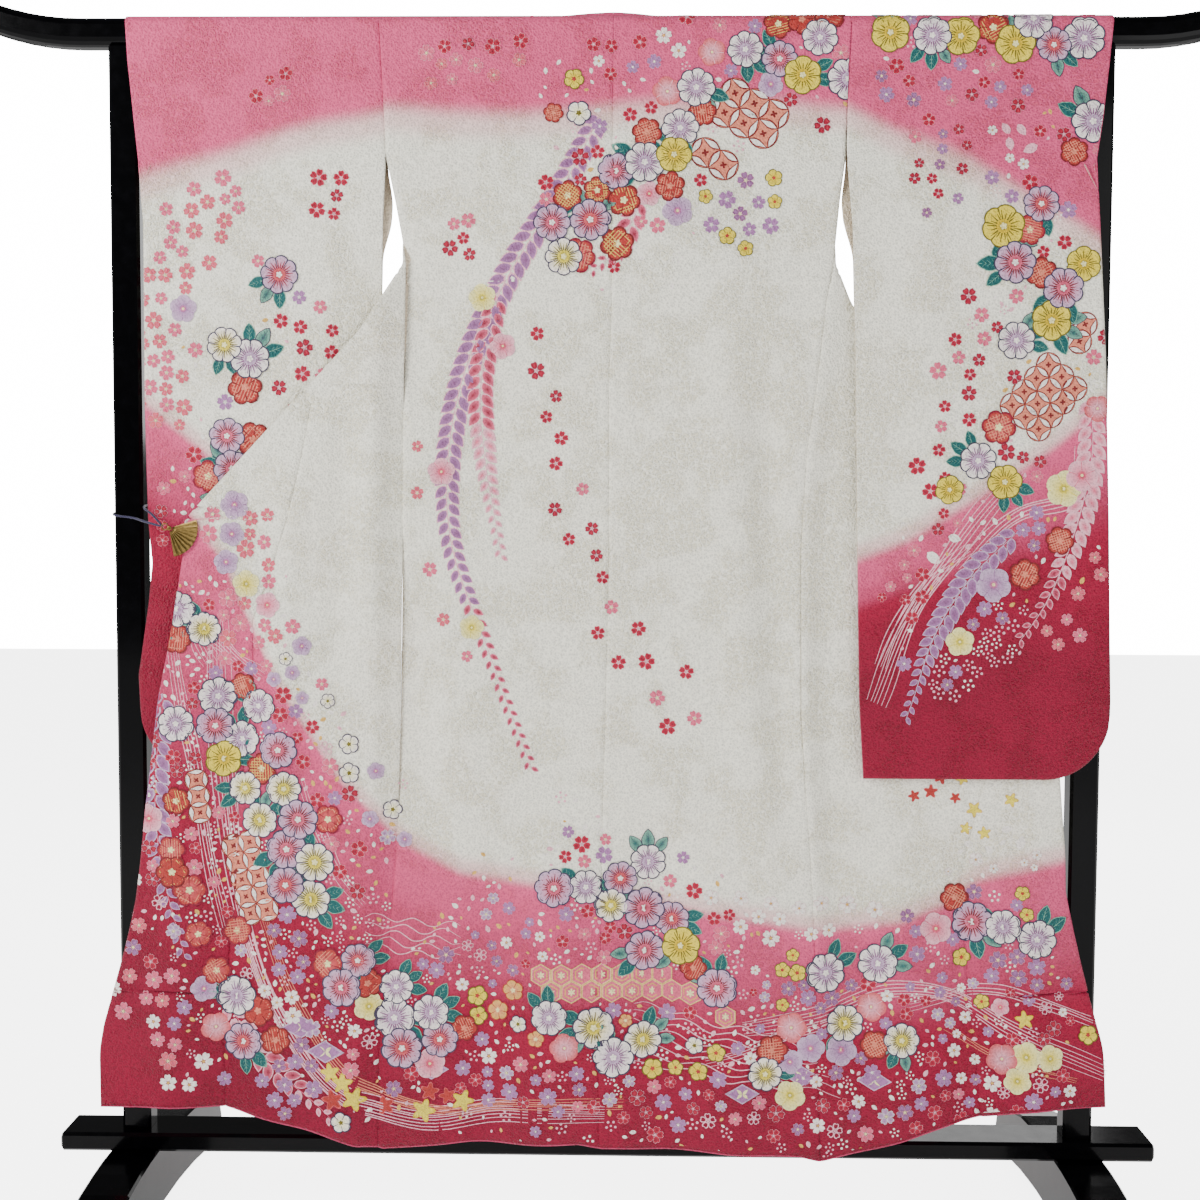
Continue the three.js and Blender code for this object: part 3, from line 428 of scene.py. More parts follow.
# ---- shader groups and materials -------------------------------------------------------------
def linear(red, green, blue):
    """A colour given as 0 to 255 screen values, as the shader takes it."""
    def one(value):
        value /= 255
        return value / 12.92 if value <= 0.04045 else ((value + 0.055) / 1.055) ** 2.4
    return (one(red), one(green), one(blue), 1.0)


def add_node(tree, kind, inputs=None, **values):
    """Adds a node; its inputs take sockets or plain values, and so do its settings by name."""
    node = tree.nodes.new(kind)
    for key, value in values.items():
        if hasattr(node, key):
            setattr(node, key, value)
        else:
            node.inputs[key.replace("_", " ").title()].default_value = value
    for socket, value in (inputs or {}).items():
        if isinstance(value, bpy.types.NodeSocket):
            tree.links.new(value, node.inputs[socket])
        else:
            node.inputs[socket].default_value = value
    return node


def object_place(tree):
    return add_node(tree, "ShaderNodeTexCoord").outputs["Object"]


def noise(tree, place, scale, detail, output="Fac"):
    return add_node(tree, "ShaderNodeTexNoise", {"Vector": place}, scale=scale, detail=detail).outputs[output]


def maths(tree, operation, *values):
    return add_node(tree, "ShaderNodeMath", dict(enumerate(values)), operation=operation).outputs[0]


def ranged(tree, source, low, high, start=0.0, stop=1.0):
    """A value that runs from start to stop, made to run from low to high."""
    ends = {"Value": source, "From Min": start, "From Max": stop, "To Min": low, "To Max": high}
    return add_node(tree, "ShaderNodeMapRange", ends).outputs[0]


def two_colours(tree, share, first, second, **values):
    return add_node(tree, "ShaderNodeMix", {"Factor": share, 6: first, 7: second}, data_type="RGBA",
                    **values).outputs[2]


def shaded(colour, strength):
    return tuple(c * strength for c in colour[:3]) + (1.0,)


def crepe_group():
    """Figured silk crepe: a pebbled grain and a woven figure, from the cloth's own coordinates."""
    group = bpy.data.node_groups.new("figured crepe", "ShaderNodeTree")
    place = object_place(group)
    twist = add_node(group, "ShaderNodeTexVoronoi", {"Vector": place}, scale=360.0)
    grain = maths(group, "ADD", noise(group, place, 270.0, 3.0), twist.outputs["Distance"])
    bent = add_node(group, "ShaderNodeVectorMath",
                    {0: noise(group, place, 38.0, 1.0, "Color"), "Scale": 0.016},
                    operation="SCALE")
    moved = add_node(group, "ShaderNodeVectorMath", {0: place, 1: bent.outputs[0]}, operation="ADD")
    sprig = add_node(group, "ShaderNodeTexVoronoi", {"Vector": moved.outputs[0]}, scale=150.0,
                     feature="DISTANCE_TO_EDGE")
    figure = ranged(group, sprig.outputs["Distance"], 0.0, 1.0, 0.06, 0.14)
    where = ranged(group, noise(group, place, 17.0, 2.0), 0.0, 1.0, 0.46, 0.56)
    shown = maths(group, "MULTIPLY", figure, where)
    out = group.nodes.new("NodeGroupOutput")
    height = maths(group, "MULTIPLY_ADD", shown, 0.55, grain)
    drift = noise(group, place, 5.0, 3.0)
    for socket, source in (("Grain", grain), ("Figure", shown), ("Height", height), ("Drift", drift)):
        group.interface.new_socket(name=socket, in_out="OUTPUT", socket_type="NodeSocketFloat")
        group.links.new(source, out.inputs[socket])


def new_material(name, shader_values):
    material = bpy.data.materials.new(name)
    material.use_nodes = True
    shader = material.node_tree.nodes["Principled BSDF"]
    for socket, value in shader_values.items():
        shader.inputs[socket].default_value = value
    return material.node_tree, shader


def finish(tree, shader, colour, gloss, height, strength, distance):
    """Gives a shader its colour and roughness, and a bump that follows a height."""
    bump = add_node(tree, "ShaderNodeBump", {"Height": height}, strength=strength, distance=distance)
    for socket, source in (("Base Color", colour), ("Roughness", gloss), ("Normal", bump.outputs["Normal"])):
        tree.links.new(source, shader.inputs[socket])


def place_crepe(tree):
    crepe = tree.nodes.new("ShaderNodeGroup")
    crepe.node_tree = bpy.data.node_groups["figured crepe"]
    return crepe.outputs


def grained(tree, colour, crepe, dark, light):
    """A colour that the pebbles of the crepe darken and lighten."""
    speck = ranged(tree, crepe["Grain"], dark, light, 0.35, 1.2)
    return add_node(tree, "ShaderNodeVectorMath", {0: colour, "Scale": speck}, operation="SCALE").outputs[0]


def silk_material(name, stops, roughness=0.5):
    """Dyed silk: the strength of the dye runs the colour from ivory to crimson."""
    tree, shader = new_material(
        name, {"Sheen Weight": 0.12, "Sheen Roughness": 0.4, "Specular IOR Level": 0.25})
    crepe = place_crepe(tree)
    dye = add_node(tree, "ShaderNodeAttribute", attribute_name="dye")
    wander = maths(tree, "MULTIPLY_ADD", crepe["Drift"], 0.12, -0.06)
    strength = maths(tree, "ADD", maths(tree, "MULTIPLY", dye.outputs["Fac"], 0.42), wander)
    ramp = add_node(tree, "ShaderNodeValToRGB", {"Fac": strength})
    ramp.color_ramp.interpolation = "EASE"
    while len(ramp.color_ramp.elements) < len(stops):
        ramp.color_ramp.elements.new(0.5)
    for element, (at, colour) in zip(ramp.color_ramp.elements, stops):
        element.position = at
        element.color = colour
    woven = two_colours(tree, crepe["Figure"], ramp.outputs["Color"], linear(241, 238, 228),
                        blend_type="MULTIPLY")
    gloss = ranged(tree, crepe["Figure"], roughness + 0.06, roughness - 0.12)
    finish(tree, shader, grained(tree, woven, crepe, 0.70, 1.20), gloss, crepe["Height"], 1.0, 0.0012)


def painted_material():
    """Painted and stencilled flowers: the colour is on the figures, over the same crepe."""
    tree, shader = new_material(
        "painted figures", {"Sheen Weight": 0.15, "Sheen Roughness": 0.4, "Specular IOR Level": 0.35})
    crepe = place_crepe(tree)
    tint = add_node(tree, "ShaderNodeAttribute", attribute_name="tint").outputs["Color"]
    gloss = ranged(tree, crepe["Drift"], 0.45, 0.6)
    finish(tree, shader, grained(tree, tint, crepe, 0.74, 1.16), gloss, crepe["Height"], 1.0, 0.0012)


def lacquer_material(colour, roughness):
    """Black lacquer over wood: polished, with faint dust and a slow unevenness."""
    tree, shader = new_material(
        "black lacquer", {"Coat Weight": 0.12, "Coat Roughness": 0.08, "Specular IOR Level": 0.06})
    place = object_place(tree)
    dust = noise(tree, place, 60.0, 4.0)
    tone = add_node(tree, "ShaderNodeValToRGB", {"Fac": dust})
    for element, at, shade in zip(tone.color_ramp.elements, (0.45, 0.85), (colour, shaded(colour, 2.2))):
        element.position = at
        element.color = shade
    gloss = ranged(tree, dust, roughness * 0.7, roughness * 1.5)
    finish(tree, shader, tone.outputs["Color"], gloss, noise(tree, place, 14.0, 1.0), 0.08, 0.002)


def brass_material(bright, dark):
    """Darkened brass: the hollows have turned brown, the edges are rubbed bright."""
    tree, shader = new_material("antique brass", {"Metallic": 1.0})
    patina = noise(tree, object_place(tree), 260.0, 4.0)
    edge = add_node(tree, "ShaderNodeNewGeometry").outputs["Pointiness"]
    worn = maths(tree, "MULTIPLY_ADD", ranged(tree, edge, 0.0, 1.0, 0.46, 0.56), patina, 0.1)
    colour = two_colours(tree, worn, dark, bright)
    finish(tree, shader, colour, ranged(tree, patina, 0.25, 0.55), patina, 0.3, 0.0003)


def cord_material(colour):
    """Fine silk cord: plied strands catch the light, and the grooves between them are painted darker as
    shade.
    """
    tree, shader = new_material("silk cord", {"Sheen Weight": 0.5, "Sheen Roughness": 0.4})
    ply = add_node(tree, "ShaderNodeTexWave", {"Vector": object_place(tree)}, scale=220.0, distortion=1.0,
                   bands_direction="DIAGONAL").outputs["Fac"]
    # painted shade: the cord's colour falls to 0.4 of itself in the grooves between the plies
    tone = two_colours(tree, ply, shaded(colour, 0.4), colour)
    finish(tree, shader, tone, ranged(tree, ply, 0.75, 0.5), ply, 0.5, 0.0004)


# ---- mesh making -----------------------------------------------------------------------------
def link_object(name, mesh, *materials):
    for material in materials:
        mesh.materials.append(bpy.data.materials[material])
    mesh.shade_smooth()
    piece = bpy.data.objects.new(name, mesh)
    bpy.context.scene.collection.objects.link(piece)
    return piece


def new_mesh(name, work):
    mesh = bpy.data.meshes.new(name)
    work.to_mesh(mesh)
    work.free()
    return mesh


def woven_mesh(name, points, facing, dye, sample=0.5):
    """A grid of cloth moved onto rows of points; doubles merge where it closes on itself."""
    rows, columns = points.shape[:2]
    grid = bmesh.new()
    bmesh.ops.create_grid(grid, x_segments=columns - 1, y_segments=rows - 1, size=0.5)
    mesh = new_mesh(name, grid)
    flat = np.empty(len(mesh.vertices) * 3, np.float32)
    mesh.vertices.foreach_get("co", flat)
    flat = flat.reshape(-1, 3)
    j = np.rint((flat[:, 0] + 0.5) * (columns - 1)).astype(int)
    i = np.rint((flat[:, 1] + 0.5) * (rows - 1)).astype(int)
    mesh.vertices.foreach_set("co", (points[i, j] * MM).astype(np.float32).ravel())
    attribute = mesh.attributes.new("dye", "FLOAT", "POINT")
    attribute.data.foreach_set("value", dye[i, j].astype(np.float32))
    along = np.linalg.norm(np.diff(points, axis=0), axis=2).mean(1)
    down = np.concatenate([[0], np.cumsum(along)])
    across = np.linalg.norm(np.diff(points, axis=1), axis=2).mean(0)
    side = np.concatenate([[0], np.cumsum(across)])
    corners = np.empty(len(mesh.loops), int)
    mesh.loops.foreach_get("vertex_index", corners)
    uv = np.stack([side[j[corners]], down[i[corners]]], axis=1) * MM
    mesh.uv_layers.new(name="cloth").data.foreach_set("uv", uv.astype(np.float32).ravel())
    work = bmesh.new()
    work.from_mesh(mesh)
    work.faces.ensure_lookup_table()
    work.normal_update()
    probe = work.faces[int(sample * (rows - 1)) * (columns - 1) + (columns - 1) // 2]
    if probe.normal.dot(Vector(facing)) < 0:
        bmesh.ops.reverse_faces(work, faces=work.faces)
    bmesh.ops.remove_doubles(work, verts=work.verts, dist=0.00002)
    work.to_mesh(mesh)
    work.free()
    return mesh


def lined_cloth(name, points, facing, dye, sample=0.5):
    """A sheet of silk with its lining behind it."""
    piece = link_object(name, woven_mesh(name, points, facing, dye, sample), "dyed silk", "silk lining")
    shell = piece.modifiers.new("lining", "SOLIDIFY")
    shell.thickness = SHELL * MM
    shell.offset = 0
    shell.material_offset = 1
    return piece


def ring_loft(name, rings, *materials, closed=False):
    """A skin over rings of points; it closes round each ring and is capped at its ends."""
    rings = np.asarray(rings, float)
    points = np.concatenate([rings, rings[:, :1]], axis=1)
    if closed:
        points = np.concatenate([points, points[:1]], axis=0)
    rows, columns = points.shape[:2]
    work = bmesh.new()
    made = bmesh.ops.create_grid(work, x_segments=columns - 1, y_segments=rows - 1, size=0.5)
    for vertex in made["verts"]:
        i = round((vertex.co.y + 0.5) * (rows - 1))
        j = round((vertex.co.x + 0.5) * (columns - 1))
        vertex.co = Vector(points[i, j]) * MM
    bmesh.ops.remove_doubles(work, verts=work.verts, dist=0.00001)
    if not closed:
        bmesh.ops.holes_fill(work, edges=[edge for edge in work.edges if edge.is_boundary])
    bmesh.ops.recalc_face_normals(work, faces=work.faces)
    return link_object(name, new_mesh(name, work), *materials)


def tube_rings(path, radius, sides=8):
    """Rings round a path, turned as little as they can be from one to the next."""
    path = np.asarray(path, float)
    ways = np.gradient(path, axis=0)
    ways /= np.linalg.norm(ways, axis=1)[:, None]
    up = np.cross(ways[0], (0.3, 0.9, 0.31))
    rings = []
    for centre, way in zip(path, ways):
        up = up - way * up.dot(way)
        up /= np.linalg.norm(up)
        aside = np.cross(way, up)
        angles = np.arange(sides) * 2 * math.pi / sides
        rings.append([centre + radius * (math.cos(a) * up + math.sin(a) * aside) for a in angles])
    return rings


# ---- cloth pieces ----------------------------------------------------------------------------
def edge_close(count, draw=0.72):
    """Even places from 0 to 1 that crowd towards both edges."""
    t = np.linspace(0, 1, count + 1)
    return t - draw * np.sin(2 * math.pi * t) / (2 * math.pi)


def front_places(side, start, stop, z, count):
    """Places along the cloth for one row of a front: crowded on its turn-back and its edges."""
    reach = lookup(side["front"], z, 3)
    radius = min(FOLD_RADIUS, reach * 0.9)
    turn, end = reach - radius, reach - radius + math.pi * radius
    if turn < start + 6 or end > stop - 6:
        return mix(start, stop, edge_close(count))
    bend = 8
    first = min(count - bend - 6, max(6, round((count - bend) * (turn - start) / (stop - start))))
    last = first + bend
    return np.concatenate([
        mix(start, turn, edge_close(first, 0.6))[:-1], np.linspace(turn, end, bend + 1)[:-1],
        mix(end, stop, edge_close(count - last, 0.6)),
    ])


ROUND_TUCK = TUCK_Z + np.array([-5, -2.5, -1, 0, 1, 2.5, 5])
BACK_HEIGHTS = np.unique(np.concatenate([np.linspace(HEM_Z, BAR_SHOULDER, 206), ROUND_TUCK]))
FRONT_HEIGHTS = np.linspace(BAR_SHOULDER, HEM_Z, 230)
OKUMI_HEIGHTS = np.linspace(OKUMI_TOP, HEM_Z, 180)


def body_points(side, columns):
    """Rows of one panel: up the back, over the bar with the neck cut out, and down the front."""
    sign = side["sign"]
    t = edge_close(columns)
    rows = []
    for z in BACK_HEIGHTS:
        centre, seam = lookup(BACK_SECTIONS, z, 1) + sign * LAP, side_seam(side, z) - sign * LAP
        rows.append(back_point(mix(centre, seam, t), np.full(columns + 1, z)))
    total = over_length(CLOTH_LIFT)
    middle = lookup(BACK_SECTIONS, SHOULDER_Z, 1) + sign * LAP
    edge = side_seam(side, SHOULDER_Z) - sign * LAP
    for length in np.linspace(0, total, OVER_ROWS)[1:-1]:
        y, z = over_bar(length, CLOTH_LIFT)
        cut = smooth((length / total - 0.35) / 0.4)
        inner = mix(middle, sign * COLLAR["neck_half"], cut)
        x = mix(inner, edge, t)
        rows.append(np.stack([x, np.full_like(x, y), np.full_like(x, z)], axis=-1))
    for z in FRONT_HEIGHTS:
        places = front_places(side, LAP, lookup(side["front"], z, 1) - LAP, z, columns)
        rows.append(front_point(side, places[::-1], z))
    return np.array(rows)


def okumi_points(side, columns):
    rows = []
    for z in OKUMI_HEIGHTS:
        start, stop = lookup(side["front"], z, 1) + LAP, lookup(side["front"], z, 2) - LAP
        rows.append(front_point(side, front_places(side, start, stop, z, columns), z))
    return np.array(rows)


def collar_points(columns):
    """One band: up the left front edge, round the back of the neck and down the right."""
    heights = np.linspace(1655, COLLAR["end"], 130)

    def edge_row(side, z):
        start = lookup(side["front"], z, 2) + LAP
        return front_point(side, front_places(side, start, start + COLLAR["width"], z, columns), z)

    t = np.linspace(0, 1, columns + 1)
    rows = [edge_row(SIDES["left"], z) for z in heights[::-1]]
    for turn in np.linspace(-1, 1, 61)[1:-1]:
        along, down = min(1, abs(turn) * 2), max(0, abs(turn) * 2 - 1)
        middle = lookup(BACK_SECTIONS, SHOULDER_Z, 1) * (1 - along)
        close = smooth(t * 7) * (1 - smooth(down))
        lift = mix(CLOTH_LIFT + SHELL + 0.2, CLOTH_LIFT + 4.4, close)
        total = over_length(lift)
        hang = total + mix(36, 11, down)
        sewn = mix(mix(0.36, 0.44, along) * total, hang, down)
        y, z = over_bar(mix(sewn, hang, t), lift)
        inner, outer = COLLAR["neck_half"] - 4 + 2 * down, COLLAR["neck_half"] - COLLAR["width"]
        x = middle + math.copysign(1, turn) * along * mix(inner, outer, t)
        rows.append(np.stack([x, y, z + COLLAR["lift"] * close * (1 - along**2) * (1 - t) ** 2], axis=-1))
    rows += [edge_row(SIDES["right"], z) for z in heights]
    return np.array(rows)


def sleeve_points(side, columns):
    """Closed rows round a sleeve: down the near layer, up the far one and over the bar."""
    shares = edge_close(columns)
    bend = 4                      # the sewn bottom turns round within this height
    low, curved = SLEEVE["bottom"] + bend, 900
    levels = np.concatenate([
        np.linspace(BAR_SHOULDER, SLEEVE["wrist"], 40), np.linspace(SLEEVE["wrist"], low, 130)[1:],
    ])
    bottom = sleeve_bottom(side, shares) + bend

    def height(level):
        """Rows are level above the corner, and bend round with it below."""
        if level >= curved:
            return np.full_like(shares, level)
        return mix(bottom, curved, (level - low) / (curved - low))

    rows = [sleeve_point(side, shares, height(level), np.zeros_like(shares)) for level in levels]
    low_edge = sleeve_point(side, shares, bottom, np.zeros_like(shares))
    far_edge = sleeve_point(side, shares, bottom, np.ones_like(shares))
    for angle in np.linspace(0, math.pi, 8)[1:-1]:
        row = mix(low_edge, far_edge, (1 - math.cos(angle)) / 2)
        row[:, 2] = bottom - 3.4 * math.sin(angle)
        rows.append(row)
    rows += [sleeve_point(side, shares, height(level), np.ones_like(shares)) for level in levels[::-1]]
    inner, outer = sleeve_inner(side, SHOULDER_Z), lookup(side["sleeve"], SHOULDER_Z, 2)
    for length in np.linspace(over_length(CLOTH_LIFT), 0, OVER_ROWS)[1:-1]:
        y, z = over_bar(length, CLOTH_LIFT)
        x = mix(inner, outer, shares)
        rows.append(np.stack([x, np.full_like(x, y), np.full_like(x, z)], axis=-1))
    rows.append(rows[0])
    return np.array(rows)


def ride_as(piece):
    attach(piece, "root")


# ---- painted figures -------------------------------------------------------------------------
PALETTE = {
    name: linear(*values) for name, values in {
        "white": (238, 230, 222), "cream": (234, 226, 160), "straw": (224, 204, 66), "yellow": (214, 180, 20),
        "blush": (232, 170, 184), "rose": (214, 92, 120), "lavender": (190, 162, 190),
        "mauve": (158, 106, 156),
        "coral": (206, 82, 88), "orange": (168, 46, 40), "brick": (112, 18, 22), "red": (186, 14, 52),
        "wine": (128, 8, 40), "teal": (10, 84, 84), "mint": (112, 162, 142), "slate": (58, 50, 74),
        "gold": (214, 168, 84), "olive": (104, 94, 14), "peach": (216, 126, 100), "plum": (128, 76, 120),
    }.items()
}
LAYER = 0.022                     # height of one coat of paint above the last
SPRIG_RISE = 0.08                 # height of one figure over another that it overlaps
PAINT_LIFT = SHELL / 2 + 0.2      # first coat above the middle of the cloth
LINE_END = 0.03                   # how thin a drawn line gets at its end
OUTLINED = 0.94                   # a petal inside its outline


def polar(reach, angle):
    return reach * math.cos(angle), reach * math.sin(angle)


def petal_polygon(work, tint, rim, rings, spokes, layer, inner, outer, centre=(0, 0), hollow=0.0, turn=0.0):
    """A painted patch: a grid bent round a centre, from a hollow, if it has one, out to rim(angle)."""
    first, last = np.array(PALETTE[inner]), np.array(PALETTE[outer])
    made = bmesh.ops.create_grid(work, x_segments=spokes, y_segments=rings, size=0.5)["verts"]
    for vertex in made:
        angle = (vertex.co.x + 0.5) * 2 * math.pi
        t = 0.5 - vertex.co.y
        x, z = polar(mix(hollow, 1, t) * rim(angle), angle)
        vertex.co = (centre[0] + x * math.cos(turn) - z * math.sin(turn),
                     centre[1] + x * math.sin(turn) + z * math.cos(turn), layer * LAYER)
        vertex[tint] = first + (last - first) * t
    return made


def eye_patch(work, tint, size, rim, spokes, layer, inner, outer):
    """A small patch round the middle of a figure."""
    for vertex in petal_polygon(work, tint, rim, 1, spokes, layer, inner, outer):
        vertex.co.x *= size
        vertex.co.y *= size


def line_patch(work, tint, start, stop, width, layer, colour, end_width=None):
    """A thin painted line from one point to another."""
    way = Vector((stop[0] - start[0], stop[1] - start[1]))
    aside = Vector((-way.y, way.x)).normalized() / 2
    for vertex in bmesh.ops.create_grid(work, x_segments=1, y_segments=1, size=0.5)["verts"]:
        along = vertex.co.x + 0.5
        wide = (width if along < 0.5 or end_width is None else end_width) * (1 if vertex.co.y > 0 else -1)
        vertex.co = (start[0] + way.x * along + aside.x * wide, start[1] + way.y * along + aside.y * wide,
                     layer * LAYER)
        vertex[tint] = PALETTE[colour]


def petal_lines(work, tint, petals, start, stop, width, layer, colour):
    """A line between each two petals, thinning towards the middle."""
    for k in range(petals):
        a = math.pi / petals + 2 * math.pi * k / petals
        line_patch(work, tint, polar(start, a), polar(stop, a), width, layer, colour, LINE_END)


def scallop(petals, depth, sharp=1.0, size=1.0):
    return lambda angle: size * (1 - depth + depth * abs(math.cos(petals * angle / 2)) ** sharp)


def round_rim(size):
    return lambda angle: size


def drop_rim(length, width, tip=1.0):
    """A leaf or petal: pointed at the far end, rounded at the near one."""
    def rim(angle):
        x, z = polar(1, angle)
        wide = width * (1 - 0.35 * max(0, x) ** tip)
        return 1 / math.sqrt((x / length) ** 2 + (z / wide) ** 2)
    return rim


def dots(work, tint, count, reach, size, layer, colour):
    for k in range(count):
        centre = polar(reach, 2 * math.pi * k / count)
        petal_polygon(work, tint, round_rim(size), 1, 6, layer, colour, colour, centre)


def full_blossom(work, tint, petals, rim_colour, throat, line, eye, star):
    """A large round blossom: scalloped petals, rays from a darker throat, and a pale star."""
    petal_polygon(work, tint, scallop(petals, 0.12, 0.7), 1, petals * 6, 0, line, line, hollow=0.84)
    petal_polygon(work, tint, scallop(petals, 0.12, 0.7, 0.93), 3, petals * 6, 1, throat, rim_colour)
    petal_lines(work, tint, petals, 0.84, 0.4, 0.08, 2, line)
    for k in range(petals * 3):
        a = 2 * math.pi * k / (petals * 3)
        line_patch(work, tint, polar(0.3, a), polar(0.74 if k % 2 else 0.6, a), 0.075, 3, eye, LINE_END)
    eye_patch(work, tint, 0.34, scallop(12, 0.14), 24, 4, eye, throat)
    eye_patch(work, tint, 0.17, scallop(5, 0.35), 20, 5, star, star)


def plum(work, tint, rim_colour, throat, line, star, lattice=None):
    """A plum blossom with round petals; some are filled with a lattice."""
    petals = 6 if lattice else 5
    petal_polygon(work, tint, scallop(petals, 0.2, 0.6), 1, petals * 6, 0, line, line, hollow=0.82)
    petal_polygon(work, tint, scallop(petals, 0.2, 0.6, 0.88), 2, petals * 6, 1, throat, rim_colour)
    if lattice:
        for k in (-0.6, -0.43, -0.26, -0.09, 0.09, 0.26, 0.43, 0.6):
            reach = math.sqrt(0.56 - k**2)
            line_patch(work, tint, (-reach, k), (reach, k), 0.055, 2, lattice)
            line_patch(work, tint, (k, -reach), (k, reach), 0.055, 2, lattice)
    petal_lines(work, tint, petals, 0.7, 0.28, 0.08, 3, line)
    eye_patch(work, tint, 0.24, scallop(5, 0.4), 20, 4, star, star)


def soft_blossom(work, tint, rim_colour, throat, eye):
    """A blossom without an outline: broad pale petals that darken to the middle."""
    petal_polygon(work, tint, scallop(5, 0.16, 0.8), 3, 30, 0, throat, rim_colour)
    petal_lines(work, tint, 5, 0.82, 0.3, 0.05, 1, throat)
    eye_patch(work, tint, 0.3, scallop(8, 0.2), 16, 2, eye, throat)
    petal_polygon(work, tint, round_rim(0.1), 1, 6, 3, "cream", "cream")


def cherry_rim(angle, size=1.0):
    """One petal, notched at its tip."""
    notch = 0.16 * math.exp(-((((angle + math.pi) % (2 * math.pi)) - math.pi) / 0.35) ** 2)
    wide = 0.34 + 0.05 * math.cos(angle)
    base = 1 / math.sqrt((math.cos(angle) / 0.42) ** 2 + (math.sin(angle) / wide) ** 2)
    return (base - notch) * size


def cherry(work, tint, petal, throat, line, eye, outline_only=False):
    """A small cherry blossom of five separate petals."""
    for k in range(5):
        a = 2 * math.pi * k / 5 + math.pi / 2
        centre = polar(0.56, a)
        if outline_only:
            petal_polygon(work, tint, cherry_rim, 1, 16, 0, line, line, centre, hollow=0.68, turn=a)
        else:
            petal_polygon(work, tint, cherry_rim, 1, 12, 0, line, line, centre, hollow=0.88, turn=a)
            petal_polygon(work, tint, lambda angle: cherry_rim(angle, OUTLINED), 1, 10, 1, throat, petal,
                          centre, turn=a)
    eye_patch(work, tint, 0.2, scallop(5, 0.5), 10, 2, eye, eye)


def leaf(work, tint, body, edge, vein):
    petal_polygon(work, tint, drop_rim(1.0, 0.62, 1.5), 1, 16, 0, vein, vein, hollow=0.82)
    petal_polygon(work, tint, drop_rim(0.9, 0.55, 1.5), 1, 16, 1, body, edge)
    line_patch(work, tint, (-0.8, 0), (0.8, 0), 0.06, 2, vein, LINE_END)
    for k in (-0.35, 0.05, 0.4):
        for sign in (-1, 1):
            line_patch(work, tint, (k - 0.2, 0), (k + 0.1, sign * 0.24), 0.03, 2, vein, 0.015)


def wisteria_petal(work, tint, body, edge, line):
    petal_polygon(work, tint, drop_rim(1.0, 0.56, 2.0), 1, 12, 0, line, line, hollow=0.78)
    petal_polygon(work, tint, drop_rim(0.88, 0.46, 2.0), 1, 12, 1, body, edge)


def loose_petal(work, tint, colour):
    petal_polygon(work, tint, drop_rim(1.0, 0.6, 2.0), 1, 10, 0, colour, colour)


def star_leaf(work, tint, colour, line):
    """A small five-pointed maple leaf."""
    petal_polygon(work, tint, scallop(5, 0.5, 2.2), 1, 30, 0, line, line, hollow=0.8)
    petal_polygon(work, tint, scallop(5, 0.5, 2.2, 0.86), 1, 30, 1, colour, colour)


def seven_treasures(work, tint, lens, ground, line):
    """One circle of the seven-treasures net: four pointed lenses round a ground with a star."""
    petal_polygon(work, tint, round_rim(1.0), 1, 24, 0, line, line, hollow=0.9)
    petal_polygon(work, tint, round_rim(0.95), 3, 24, 1, ground, ground)
    for k in range(4):
        a = k * math.pi / 2 + math.pi / 4
        for rim, layer, colour in ((drop_rim(0.7, 0.26), 2, line), (drop_rim(0.58, 0.17), 3, lens)):
            petal_polygon(work, tint, rim, 1, 12, layer, colour, colour, polar(0.7, a), turn=a + math.pi / 2)
    eye_patch(work, tint, 0.24, scallop(4, 0.6), 16, 4, line, line)


def tortoise_cell(work, tint, line, ground, star):
    """One six-sided cell with a small flower in it."""
    def hexagon(size):
        return lambda a: size * (math.cos(math.pi / 6) / math.cos((a % (math.pi / 3)) - math.pi / 6))
    petal_polygon(work, tint, hexagon(1), 1, 24, 0, star, line, hollow=0.84)
    petal_polygon(work, tint, hexagon(0.9), 1, 24, 1, ground, ground)
    petal_polygon(work, tint, hexagon(0.66), 1, 24, 2, line, line, hollow=0.84)
    eye_patch(work, tint, 0.34, scallop(6, 0.6), 24, 3, star, star)


def lozenge(work, tint, ground, line, star):
    """A diamond with a four-petalled flower in it."""
    def diamond(size):
        return lambda a: size * (1 / (abs(math.cos(a)) + 1.7 * abs(math.sin(a))))
    petal_polygon(work, tint, diamond(1), 1, 24, 0, line, line, hollow=0.8)
    petal_polygon(work, tint, diamond(0.88), 1, 24, 1, ground, ground)
    for k in range(4):
        a = k * math.pi / 2 + math.pi / 4
        centre = (0.24 * math.cos(a), 0.18 * math.sin(a))
        petal_polygon(work, tint, drop_rim(0.22, 0.09), 1, 10, 2, star, star, centre, turn=a)


def crumbs(work, tint, colour):
    """A sprinkle of tiny dots, as left round the blossoms."""
    dots(work, tint, 5, 0.8, 0.24, 0, colour)
    dots(work, tint, 1, 0.0, 0.2, 1, colour)


